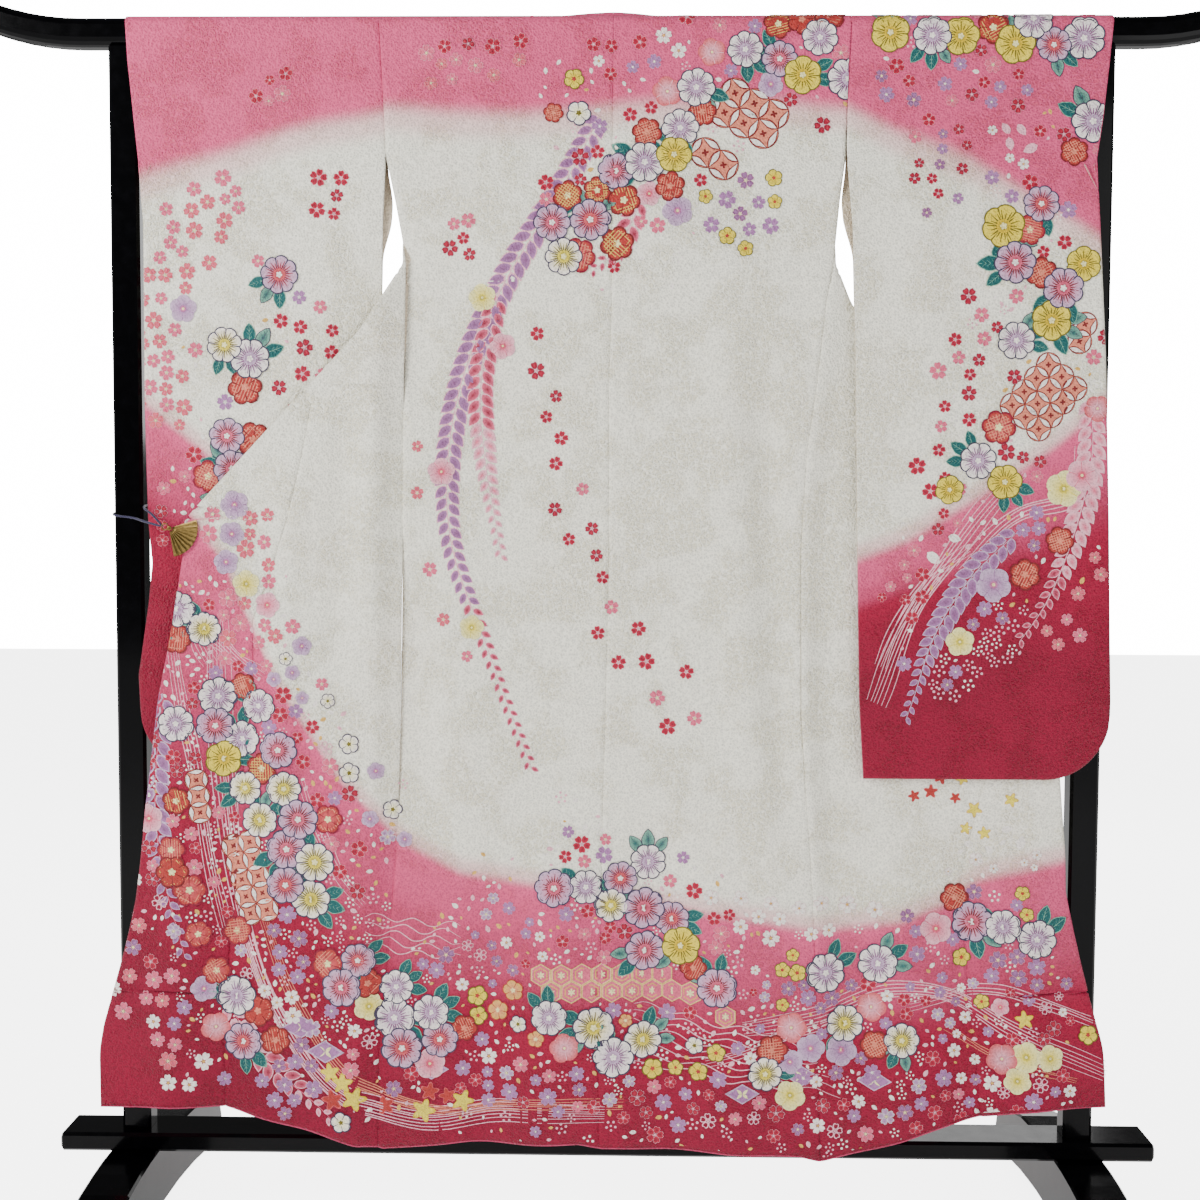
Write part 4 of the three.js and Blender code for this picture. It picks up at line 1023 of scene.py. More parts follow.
FIGURES = {
    "lilac_full": (full_blossom, (8, "white", "lavender", "slate", "plum", "white")),
    "pink_full": (full_blossom, (8, "lavender", "rose", "slate", "brick", "white")),
    "cream_full": (full_blossom, (8, "white", "straw", "slate", "olive", "cream")),
    "coral_full": (full_blossom, (8, "lavender", "coral", "slate", "wine", "white")),
    "yellow_full": (full_blossom, (6, "straw", "yellow", "olive", "olive", "cream")),
    "orange_plum": (plum, ("orange", "orange", "brick", "peach", "peach")),
    "brick_plum": (plum, ("orange", "coral", "wine", "cream", "peach")),
    "red_plum": (plum, ("orange", "orange", "brick", "cream", "gold")),
    "yellow_plum": (plum, ("straw", "yellow", "olive", "orange")),
    "cream_plum": (plum, ("white", "cream", "slate", "olive")),
    "gold_plum": (plum, ("gold", "peach", "orange", "cream")),
    "rose_soft": (soft_blossom, ("blush", "rose", "red")),
    "coral_soft": (soft_blossom, ("coral", "blush", "red")),
    "cream_soft": (soft_blossom, ("cream", "straw", "olive")),
    "lilac_soft": (soft_blossom, ("lavender", "mauve", "rose")),
    "red_cherry": (cherry, ("red", "wine", "blush", "blush")),
    "wine_cherry": (cherry, ("wine", "red", "blush", "blush")),
    "coral_cherry": (cherry, ("coral", "rose", "blush", "cream")),
    "rose_cherry": (cherry, ("rose", "rose", "blush", "cream")),
    "mauve_cherry": (cherry, ("mauve", "mauve", "lavender", "white")),
    "dusk_cherry": (cherry, ("plum", "mauve", "blush", "cream")),
    "white_cherry": (cherry, ("white", "white", "blush", "gold")),
    "outline_cherry": (cherry, ("lavender", "mauve", "white", "cream")),
    "ring_cherry": (cherry, ("white", "white", "blush", "blush", True)),
    "teal_leaf": (leaf, ("teal", "teal", "mint")),
    "mint_leaf": (leaf, ("teal", "mint", "slate")),
    "mauve_drop": (wisteria_petal, ("plum", "mauve", "blush")),
    "violet_drop": (wisteria_petal, ("plum", "mauve", "lavender")),
    "wine_drop": (wisteria_petal, ("wine", "rose", "blush")),
    "coral_drop": (wisteria_petal, ("rose", "blush", "blush")),
    "white_petal": (loose_petal, ("white",)),
    "blush_petal": (loose_petal, ("blush",)),
    "gold_petal": (loose_petal, ("gold",)),
    "white_crumbs": (crumbs, ("white",)),
    "blush_crumbs": (crumbs, ("blush",)),
    "yellow_star": (star_leaf, ("straw", "yellow")),
    "gold_star": (star_leaf, ("straw", "gold")),
    "orange_star": (star_leaf, ("orange", "coral")),
    "treasure_ring": (seven_treasures, ("white", "peach", "brick")),
    "tortoise_cell": (tortoise_cell, ("gold", "rose", "cream")),
    "mauve_lozenge": (lozenge, ("mauve", "lavender", "cream")),
}
# The lowest coat of each kind of figure, so that the large blossoms lie over the small ones.
COATS = {
    loose_petal: 0, crumbs: 0, wisteria_petal: 1, seven_treasures: 2, tortoise_cell: 2, lozenge: 3,
    star_leaf: 3,
    cherry: 4, leaf: 5, soft_blossom: 7, plum: 9, full_blossom: 11,
}
TURNS = 3                         # coats that overlapping figures of a kind take turns on


def figure_mesh(name, make, values):
    """One figure, drawn once with a reach of 1 millimetre in x and y, and its coats in z."""
    work = bmesh.new()
    tint = work.verts.layers.float_color.new("tint")
    make(work, tint, *values)
    bmesh.ops.remove_doubles(work, verts=work.verts, dist=0.0008)
    new_mesh(name, work)


class Painting:
    """Figures waiting to be painted on one stretch of cloth: figure, x, height, size and turn."""

    def __init__(self, seed):
        self.sprigs = []
        self.dice = random.Random(seed)

    def add(self, figure, x, z, size, turn=None):
        turn = self.dice.uniform(0, 2 * math.pi) if turn is None else turn
        self.sprigs.append((figure, x, z, size, turn))

    def clear_of(self, x, z, size, share):
        return all(math.hypot(x - x2, z - z2) > (size + s2) * share for _, x2, z2, s2, _ in self.sprigs)

    def scatter(self, path, half_width, figures, sizes, count, share=0.9):
        """Figures along a path, each clear of all others by a share of their sizes."""
        placed = []
        for _ in range(count * 14):
            if len(placed) >= count:
                break
            size = self.dice.uniform(*sizes)
            x, z, way = along_path(path, self.dice.random())
            aside = self.dice.gauss(0, half_width * 0.6)
            x, z = x - aside * math.sin(way), z + aside * math.cos(way)
            if self.clear_of(x, z, size, share):
                placed.append((x, z, size))
                self.add(self.dice.choice(figures), x, z, size)
        return placed

    def leaves(self, beds, chance=0.9):
        """Pairs and threes of leaves that reach out from under the large blossoms."""
        for x, z, size in beds:
            if self.dice.random() < chance:
                out = self.dice.uniform(0, 2 * math.pi)
                for spread in (-0.55, 0.1, 0.7)[: self.dice.choice((2, 3))]:
                    a = out + spread
                    reach = polar(size * 1.22, a)
                    figure = self.dice.choice(("teal_leaf", "teal_leaf", "mint_leaf"))
                    self.add(figure, x + reach[0], z + reach[1], size * self.dice.uniform(0.46, 0.6), a)

    def vine(self, path, figures, size, step):
        """Wisteria: pairs of drops on either side of a stem, smaller towards its end."""
        total = sum(math.hypot(b[0] - a[0], b[1] - a[1]) for a, b in zip(path, path[1:]))
        pairs = int(total / step)
        for k in range(pairs):
            t = (k + 0.5) / pairs
            x, z, way = along_path(path, t)
            grown = size * (0.8 + 0.55 * math.sin(math.pi * min(1, 0.15 + t)) - 0.25 * t)
            figure = figures[min(len(figures) - 1, int(t * len(figures)))]
            for sign in (-1, 1):
                a = way + sign * 0.72
                out, late = polar(grown * 1.18, a), polar(sign * step / 4, way)
                self.add(figure, x + out[0] + late[0], z + out[1] + late[1], grown, a)

    def net(self, figure, x, z, wide, tall, radius, turn=0.0, six=False):
        """A patch of circles or cells laid edge to edge."""
        across, down = (radius * 1.74, radius * 1.5) if six else (radius * 1.414, radius * 1.414)
        cos, sin = math.cos(turn), math.sin(turn)
        for i in range(wide):
            for j in range(tall):
                u, v = i * across + (across / 2 if six and j % 2 else 0), -j * down
                own_turn = math.pi / 2 if six else turn + math.pi / 4
                self.add(figure, x + u * cos - v * sin, z + u * sin + v * cos, radius, own_turn)

    def coated(self):
        """The figures with the coat that each starts on; those of a kind that overlap take turns."""
        done = []
        for figure, x, z, size, turn in self.sprigs:
            base = COATS[FIGURES[figure][0]]
            used = {coat for _, x2, z2, s2, _, coat in done if math.hypot(x - x2, z - z2) < size + s2}
            coat = next((base + k for k in range(TURNS) if base + k not in used), base + TURNS - 1)
            done.append((figure, x, z, size, turn, coat))
        return done


def along_path(path, t):
    """A point of a bent line and its way there, at a share of its length."""
    points = np.array(path, float)
    steps = np.hypot(*np.diff(points, axis=0).T)
    marks = np.concatenate([[0], np.cumsum(steps)])
    at = t * marks[-1]
    x, z = np.interp(at, marks, points[:, 0]), np.interp(at, marks, points[:, 1])
    k = min(len(steps) - 1, int(np.searchsorted(marks[1:], at)))
    way = math.atan2(points[k + 1, 1] - points[k, 1], points[k + 1, 0] - points[k, 0])
    return float(x), float(z), way


def curve_through(path, steps=40):
    """A smooth line through a few points."""
    points = np.array(path, float)
    marks = np.concatenate([[0], np.cumsum(np.hypot(*np.diff(points, axis=0).T))])
    at = np.linspace(0, marks[-1], steps)
    slopes = np.gradient(points, marks, axis=0)
    k = np.clip(np.searchsorted(marks, at, side="right") - 1, 0, len(marks) - 2)
    span = (marks[k + 1] - marks[k])[:, None]
    t = ((at - marks[k])[:, None]) / span
    first = (2 * t**3 - 3 * t**2 + 1) * points[k] + (t**3 - 2 * t**2 + t) * (slopes[k] * span)
    return first + (3 * t**2 - 2 * t**3) * points[k + 1] + (t**3 - t**2) * (slopes[k + 1] * span)


def painted_lines(work, tint, path, count, spread, width, colour):
    """Streams: fine lines side by side along a smooth line, drawing together and apart."""
    line = curve_through(path, 60)
    parts = []
    ways = np.gradient(line, axis=0)
    ways /= np.linalg.norm(ways, axis=1)[:, None]
    aside = np.stack([-ways[:, 1], ways[:, 0]], axis=1)
    t = np.linspace(0, 1, len(line))
    for k in range(count):
        even = (k - (count - 1) / 2) * spread * (0.7 + 0.3 * np.sin(3 * t * math.pi + k))
        centre = line + aside * (even + 1.2 * np.sin(9 * t + k * 1.7))[:, None]
        made = bmesh.ops.create_grid(work, x_segments=len(line) - 1, y_segments=1, size=0.5)
        for vertex in made["verts"]:
            i = round((vertex.co.x + 0.5) * (len(line) - 1))
            wide = width * (0.4 + 0.6 * math.sin(math.pi * t[i])) * (0.5 if vertex.co.y > 0 else -0.5)
            vertex.co = (centre[i][0] + aside[i][0] * wide, centre[i][1] + aside[i][1] * wide, 0)
            vertex[tint] = PALETTE[colour]
        parts += [tuple(vertex.co) for vertex in made["verts"]]
    return np.array(parts)


RAY_START, RAY_LENGTH = 30, 50   # rays find the cloth from this far before it, over this length


def cloth_tree(names):
    """The meshes of some panels as one surface that a ray can be cast at."""
    work = bmesh.new()
    for name in names:
        work.from_mesh(bpy.data.objects[name].data)
    tree = BVHTree.FromBMesh(work)
    work.free()
    return tree


def paint(name, sprigs, lines, surface, trim, tree, facing=-1):
    """Lays figures on a surface: each point goes to the cloth, and a coat above it."""
    work = bmesh.new()
    tint = work.verts.layers.float_color.new("tint")
    parts = [painted_lines(work, tint, *values) for values in lines]
    for figure, x, z, size, turn, rise in sprigs:
        mesh = bpy.data.meshes[figure]
        work.from_mesh(mesh)
        flat = np.empty(len(mesh.vertices) * 3, np.float32)
        mesh.vertices.foreach_get("co", flat)
        u, v, coat = flat.reshape(-1, 3).T
        u = u * facing * -1
        parts.append(np.stack([
            x + size * (u * math.cos(turn) - v * math.sin(turn)),
            z + size * (u * math.sin(turn) + v * math.cos(turn)),
            coat + rise * SPRIG_RISE + LAYER,
        ], axis=1))
    at = np.concatenate(parts)
    x, height = trim(at[:, 0], at[:, 1])
    step = 0.8                    # the cloth's own slope is measured this far to each side
    point = surface(x, height)
    across = surface(x + step, height) - surface(x - step, height)
    down = surface(x, height + step) - surface(x, height - step)
    normal = np.cross(across, down) * -facing
    normal /= np.maximum(1e-9, np.linalg.norm(normal, axis=1))[:, None]
    for k in np.flatnonzero(point[:, 2] < BAR["bottom"] - 4):
        start = Vector((point[k, 0] * MM, (point[k, 1] + facing * RAY_START) * MM, point[k, 2] * MM))
        hit = tree.ray_cast(start, Vector((0, -facing, 0)), RAY_LENGTH * MM)[0]
        if hit is not None:
            point[k, 1] = hit.y / MM
    mesh = new_mesh(name, work)
    raised = point + normal * (at[:, 2:] + PAINT_LIFT)
    mesh.vertices.foreach_set("co", (raised * MM).astype(np.float32).ravel())
    mesh.update()
    ride_as(link_object(name, mesh, "painted figures"))


# ---- where each stretch of cloth ends ------------------------------------------------------------
PAINT_TOP = 1690                  # figures on the near face stop here, counted straight up past the bar
BELOW_BAR = BAR["bottom"] - 6     # figures behind the bar end here
BARE_EDGE = 1.2                   # silk left bare along an edge


def between(x, first, second):
    """Holds points between two edges, whichever is the lower."""
    ends = np.sort(np.stack([first, second]), axis=0)
    return np.clip(x, ends[0], ends[1])


def spread_trim(x, height):
    """Holds painted points on the spread garment's near face."""
    z = level_height(x, np.minimum(height, BAR_SHOULDER))
    low = side_seam(SIDES["left"], z) - np.where(z < SLIT_Z, lookup(LEFT_FRONT, z, 3), 0) + BARE_EDGE
    high = side_seam(SIDES["right"], z) + np.where(z < SLIT_Z, lookup(RIGHT_FRONT, z, 3), 0) - BARE_EDGE
    x = np.clip(x, low, high)
    return x, np.clip(height, lookup(HEM, x) + 4, PAINT_TOP)


def sleeve_trim(side, layer):
    def trim(x, height):
        z = np.clip(height, SLEEVE["bottom"] + 3, PAINT_TOP if layer == 0 else BELOW_BAR)
        inner, outer = sleeve_inner(side, z), lookup(side["sleeve"], z, 2)
        pull = lookup(WRIST_FAR_EDGE, z) * layer
        x = between(x, inner + side["sign"] * BARE_EDGE, outer - side["sign"] * (BARE_EDGE + pull))
        return x, np.maximum(z, sleeve_bottom(side, sleeve_share(side, x, z)) + 5)
    return trim


def sleeve_far_place(side):
    def surface(x, z):
        share = sleeve_share(side, x, z)
        point = sleeve_point(side, share, z, np.ones_like(share))
        return np.stack([x, point[..., 1], z], axis=-1)
    return surface


def far_front_place(x, z):
    """The upper fronts, which hang free behind the bar."""
    return np.stack([x, far_depth(z), z], axis=-1)


def far_front_trim(side):
    def trim(x, height):
        z = np.clip(height, SLIT_Z + 70, BELOW_BAR)
        edge = side_seam(side, z)
        return between(x, edge - side["sign"] * 2, edge - side["sign"] * 233), z
    return trim


def turned_place(side):
    """The part of a front that is folded back behind the rest."""
    def surface(x, height):
        z = level_height(x, height)
        out = (x - side_seam(side, z)) * side["sign"]
        return np.stack([x, spread_depth(side, out, z) + 2 * FOLD_RADIUS, height], axis=-1)
    return surface


def turned_trim(side):
    def trim(x, height):
        height = np.maximum(height, lookup(HEM, x) + 5)
        z = level_height(x, height)
        reach = lookup(side["front"], z, 3)
        edge = side_seam(side, z) + side["sign"] * (reach - 2)
        inner = edge - side["sign"] * np.maximum(1, lookup(side["front"], z, 2) - reach - 6)
        return between(x, edge, inner), height
    return trim


def panel_of(x, z):
    """Which panel of the spread garment a figure's middle lies on."""
    middle = np.interp(z, [HEM_Z, SHOULDER_Z], [-8, 6])
    name = "left" if x < middle else "right"
    side = SIDES[name]
    out = (x - side_seam(side, z)) * side["sign"]
    on_okumi = z < OKUMI_TOP and out > lookup(side["front"], z, 1)
    return ("okumi_" if on_okumi else "body_") + name


# ---- where the figures are painted -------------------------------------------------------------
FULL = ("lilac_full", "pink_full", "cream_full", "pink_full", "lilac_full", "yellow_full", "coral_full")
PALE_FULL = ("lilac_full", "cream_full", "coral_full")
PLUMS = ("orange_plum", "orange_plum", "brick_plum", "red_plum")
SOFT = ("rose_soft", "cream_soft", "coral_soft", "lilac_soft")
RED = ("red_cherry", "wine_cherry", "red_cherry", "rose_cherry")
CORAL = ("coral_cherry", "rose_cherry", "coral_cherry")
MAUVE = ("mauve_cherry", "dusk_cherry", "mauve_cherry")
PALE = ("white_cherry", "ring_cherry", "outline_cherry")
DUST = ("white_petal", "blush_petal", "white_petal", "gold_petal")
CRUMBS = ("white_crumbs", "blush_crumbs")


def bed(p, path, half_width, full, plums, soft=0, small=0, dust=0, of=FULL, among=RED + MAUVE[:1]):
    """A bed of large blossoms with plums, leaves and small cherries between them."""
    large = p.scatter(path, half_width, of, (24, 30), full, 0.72)
    p.scatter(path, half_width * 1.1, PLUMS, (19, 25), plums, 0.7)
    p.scatter(path, half_width * 1.2, SOFT, (17, 23), soft, 0.74)
    p.leaves(large)
    p.scatter(path, half_width * 1.9, among, (9.5, 14), small, 0.84)
    p.scatter(path, half_width * 2.4, DUST, (2.5, 5), dust, 1.0)
    p.scatter(path, half_width * 2.2, CRUMBS, (6, 9), dust // 2, 0.8)


def wavy(start, stop, height, turns, shift=0.0):
    """Points along a wavy line."""
    steps = int(turns * 5)
    return [
        (mix(start[0], stop[0], k / steps), mix(start[1], stop[1],
                                                k / steps) + height * math.sin(k * 1.3 + shift))
        for k in range(steps + 1)
    ]


BACK_VINES = (
    [(-10, 1545), (-66, 1440), (-140, 1318), (-196, 1190), (-214, 980), (-160, 812), (-102, 655)],
    [(-148, 1306), (-172, 1180), (-166, 1080), (-144, 945)],
    [(46, 1436), (14, 1366), (-22, 1332)],
)
LEFT_VINES = (
    [(-603, 765), (-616, 640), (-604, 500), (-578, 395)],
    [(-524, 330), (-484, 272), (-430, 214), (-372, 162)],
)


def back_flowers(p):
    """The swath from the right shoulder to the middle, its vines, and the cherries below it."""
    p.net("treasure_ring", 170, 1572, 3, 2, 21, -0.5)
    p.net("treasure_ring", 130, 1492, 2, 1, 21, -0.6)
    bed(p, [(-62, 1376), (0, 1424), (60, 1488), (125, 1560), (205, 1622), (318, 1652)], 34, 12, 11, 7, 30, 24)
    bed(p, [(-60, 1362), (-20, 1400)], 22, 1, 3, 2, 6, 4, PALE_FULL)
    p.scatter([(90, 1500), (150, 1440), (212, 1380)], 40, MAUVE + ("red_cherry", "yellow_plum"), (10, 14),
              16, 1.0)
    p.scatter([(-30, 1580), (-70, 1540)], 20, ("yellow_plum", "orange_plum", "cream_plum"), (13, 18), 4, 0.9)
    p.vine(curve_through(BACK_VINES[0]), ("mauve_drop", "mauve_drop", "mauve_drop", "wine_drop"), 11, 16.5)
    p.vine(curve_through(BACK_VINES[1]), ("wine_drop", "coral_drop"), 10.5, 15.5)
    p.vine(curve_through(BACK_VINES[2]), ("wine_drop",), 9.5, 15)
    for x, z, figure, size in (
        (-170, 1297, "cream_soft", 19), (-142, 1232, "rose_soft", 18), (-226, 1062, "rose_soft", 19),
        (-184, 850, "cream_soft", 17), (-28, 1404, "rose_soft", 18), (-60, 1352, "cream_full", 26),
    ):
        p.add(figure, x, z, size)
    p.scatter([(-198, 1400), (-90, 1220), (-60, 1040), (0, 900), (60, 790), (120, 716)], 20, RED, (10, 14),
              26, 1.5)
    p.scatter([(-205, 1400), (-190, 1370), (-215, 1350)], 12, RED, (9, 13), 5, 0.9)
    p.scatter([(-250, 1100), (-238, 1000), (-215, 880), (-190, 800)], 14, CORAL, (9, 13), 9, 1.3)
    p.scatter([(-250, 1610), (-170, 1634), (-120, 1612)], 22, RED + CORAL, (9, 13), 13, 1.0)
    p.scatter([(-30, 1640), (60, 1620), (110, 1650)], 24, RED[:2] + ("white_cherry",), (9, 13), 7, 1.1)
    p.scatter([(-100, 1560), (0, 1600), (60, 1580)], 30, ("white_petal",), (3, 5), 10, 1.2)


def hem_flowers(p):
    """The beds, nets and streams round the hem of the back and the right front."""
    p.net("tortoise_cell", -88, 372, 7, 2, 16, 0, True)
    p.net("tortoise_cell", 118, 346, 1, 1, 17, 0, True)
    p.net("tortoise_cell", 166, 316, 1, 1, 16, 0.4, True)
    bed(p, [(-72, 486), (10, 500), (66, 430), (112, 372), (150, 345)], 28, 10, 9, 0, 34, 40)
    bed(p, [(-90, 322), (-40, 312), (10, 292), (50, 268)], 22, 5, 3, 2, 8, 20,
        ("coral_full", "cream_full", "lilac_full"), ("yellow_plum", "mauve_cherry", "gold_plum"))
    p.scatter([(-190, 320), (-110, 340), (-40, 280), (60, 262), (150, 232)], 26,
              ("yellow_plum", "gold_plum", "yellow_plum", "cream_plum"), (11, 16), 22, 0.95)
    bed(p, [(-300, 352), (-262, 300), (-212, 262)], 30, 5, 5, 2, 26, 30, PALE_FULL, RED + MAUVE + PALE)
    bed(p, [(192, 232), (290, 262), (350, 300), (420, 290)], 22, 3, 2, 6, 24, 20, ("cream_full",),
        RED + MAUVE + PALE)
    bed(p, [(470, 470), (520, 420), (620, 415)], 20, 5, 1, 1, 20, 12, FULL, MAUVE + ("yellow_plum",))
    bed(p, [(240, 372), (330, 350), (440, 430)], 14, 2, 0, 0, 16, 10, PALE_FULL, MAUVE + ("yellow_plum",))
    bed(p, [(540, 262), (610, 250)], 14, 0, 0, 4, 16, 12, FULL, RED + PALE)
    p.scatter([(520, 340), (600, 310), (665, 290)], 12, ("yellow_plum", "yellow_star", "rose_soft"),
              (11, 15), 8, 1.0)
    for x, z in ((190, 208), (272, 232), (372, 226), (-240, 236)):
        p.add("mauve_lozenge", x, z, 24, 0)
    p.scatter([(110, 500), (200, 448), (300, 430), (400, 452)], 30, ("white_cherry",), (11, 15), 28, 0.95)
    p.scatter([(480, 500), (540, 560), (600, 520)], 24, ("white_petal", "white_cherry"), (5, 11), 12, 1.0)
    p.scatter([(436, 660), (500, 600), (560, 560)], 22, ("orange_star", "gold_star"), (8, 12), 10, 1.1)
    p.scatter([(-200, 240), (0, 205), (200, 190), (330, 190), (520, 210), (640, 220)], 30,
              MAUVE + PALE + RED, (9, 14), 90, 0.95)
    p.scatter([(-200, 420), (-110, 360), (250, 330), (450, 330), (640, 340)], 60,
              MAUVE + PALE + ("red_cherry",), (7, 11), 60, 1.05)
    p.scatter([(-250, 420), (0, 250), (300, 250), (640, 280)], 110, DUST, (2.5, 5.5), 230, 1.1)
    p.scatter([(-200, 300), (100, 240), (350, 230), (600, 260)], 80, CRUMBS, (6, 9), 90, 0.9)


def left_flowers(p):
    """The broad swath on the left front, from the clip down to the hem."""
    p.net("treasure_ring", -512, 548, 2, 5, 17, 0.25)
    p.net("treasure_ring", -560, 640, 1, 3, 16, 0.1)
    p.scatter([(-530, 1010), (-500, 940), (-470, 870)], 22, ("rose_soft", "lilac_soft", "cream_soft"),
              (17, 22), 6, 1.0)
    p.scatter([(-520, 1010), (-490, 930), (-470, 830)], 34, CORAL + ("rose_cherry",), (10, 15), 38, 0.84)
    bed(p, [(-566, 892), (-560, 820)], 18, 2, 3, 0, 12, 8, ("cream_full", "lilac_full"), RED + PALE)
    bed(p, [(-560, 770), (-510, 730), (-470, 640), (-440, 560), (-424, 470)], 34, 15, 14, 0, 60, 60)
    bed(p, [(-600, 700), (-585, 600), (-560, 500), (-520, 420)], 26, 0, 6, 9, 30, 30, PALE_FULL, RED + PALE)
    bed(p, [(-540, 380), (-500, 320), (-460, 270)], 24, 2, 4, 5, 20, 20, PALE_FULL, MAUVE + PALE)
    bed(p, [(-372, 400), (-330, 350), (-300, 310)], 24, 5, 3, 1, 16, 16, FULL, MAUVE + PALE)
    p.scatter([(-460, 800), (-400, 700), (-350, 600), (-320, 520)], 34,
              ("cream_plum", "lilac_soft", "mauve_cherry", "outline_cherry",
              "ring_cherry", "yellow_plum"), (9, 15), 50, 0.95)
    p.scatter([(-640, 470), (-640, 380), (-600, 290), (-560, 220)], 32,
              ("coral_cherry", "rose_cherry", "white_cherry", "dusk_cherry"), (11, 15), 30, 0.95)
    p.scatter([(-560, 460), (-530, 360), (-470, 260), (-420, 190)], 26, MAUVE, (11, 15), 34, 0.9)
    p.scatter([(-450, 470), (-420, 360), (-380, 290)], 30, PALE + MAUVE, (11, 15), 34, 0.9)
    for x, z in ((-420, 296), (-386, 262)):
        p.add("mauve_lozenge", x, z, 27, 0)
    p.scatter([(-452, 300), (-400, 226), (-330, 190), (-262, 200), (-190, 205)], 17,
              ("yellow_star", "gold_star", "yellow_star",
              "orange_star"), (12, 19), 34, 0.72)
    p.scatter([(-470, 420), (-440, 300), (-390, 210), (-330, 165)], 12, ("white_cherry", "cream_plum"),
              (12, 16), 12, 1.0)
    p.scatter([(-600, 900), (-480, 600), (-430, 400), (-500, 250)], 80, DUST, (2.5, 5.5), 210, 1.1)
    p.scatter([(-540, 700), (-400, 520), (-430, 300)], 70, CRUMBS, (6, 9), 80, 0.85)
    p.vine(curve_through(LEFT_VINES[0]), ("violet_drop",), 11.5, 18)
    p.vine(curve_through(LEFT_VINES[1]), ("coral_drop", "wine_drop", "coral_drop"), 11, 18)


LEFT_STREAM = [(-530, 860), (-528, 700), (-520, 600), (-496, 440), (-452, 320), (-380, 215), (-262, 168),
               (-120, 180), (0, 176)]
SPREAD_LINES = [
    (LEFT_STREAM, 8, 5.0, 1.6, "blush"),
    ([(x + 26, z + 12) for x, z in LEFT_STREAM[3:]], 5, 4.6, 1.4, "peach"),
    ([(-590, 820), (-570, 700), (-548, 560), (-520, 420)], 5, 6, 1.3, "blush"),
    ([(-610, 900), (-570, 860), (-540, 800)], 6, 6, 1.1, "blush"),
    ([(-560, 860), (-520, 820), (-470, 780)], 6, 6, 1.1, "blush"),
    ([(-420, 640), (-370, 520), (-330, 470)], 4, 8, 1.1, "blush"),
    ([(190, 300), (300, 318), (400, 352), (470, 345), (560, 300), (690, 240)], 6, 6.5, 1.4, "blush"),
    ([(420, 330), (520, 352), (620, 330), (700, 300)], 4, 6.5, 1.3, "blush"),
    ([(470, 300), (540, 262), (650, 230)], 3, 6, 1.2, "peach"),
    ([(140, 250), (260, 290), (380, 330)], 4, 6, 1.2, "blush"),
    (BACK_VINES[0], 1, 0, 1.3, "blush"), (BACK_VINES[1], 1, 0, 1.3, "blush"),
    (BACK_VINES[2], 1, 0, 1.3, "blush"),
    (LEFT_VINES[0], 1, 0, 1.5, "rose"), (LEFT_VINES[1], 1, 0, 1.5, "rose"),
] + [(wavy((40, 330 - 12 * k), (270 + 8 * k, 282 - 11 * k), 4.5, 3.4, k * 1.1), 1, 0, 1.5, "blush")
     for k in range(8)] + [
    (wavy((-330, 452 - 11 * k), (-200, 436 - 11 * k), 5, 2.4, k * 1.4), 1, 0, 1.4, "blush") for k in range(5)
]


def spread_painting():
    p = Painting(11)
    for lay in (back_flowers, hem_flowers, left_flowers):
        lay(p)
    return p, SPREAD_LINES


RIGHT_VINES = (
    [(650, 1165), (652, 1090), (632, 980), (590, 880), (560, 835)],
    [(556, 985), (500, 930), (450, 850), (408, 728)],
)


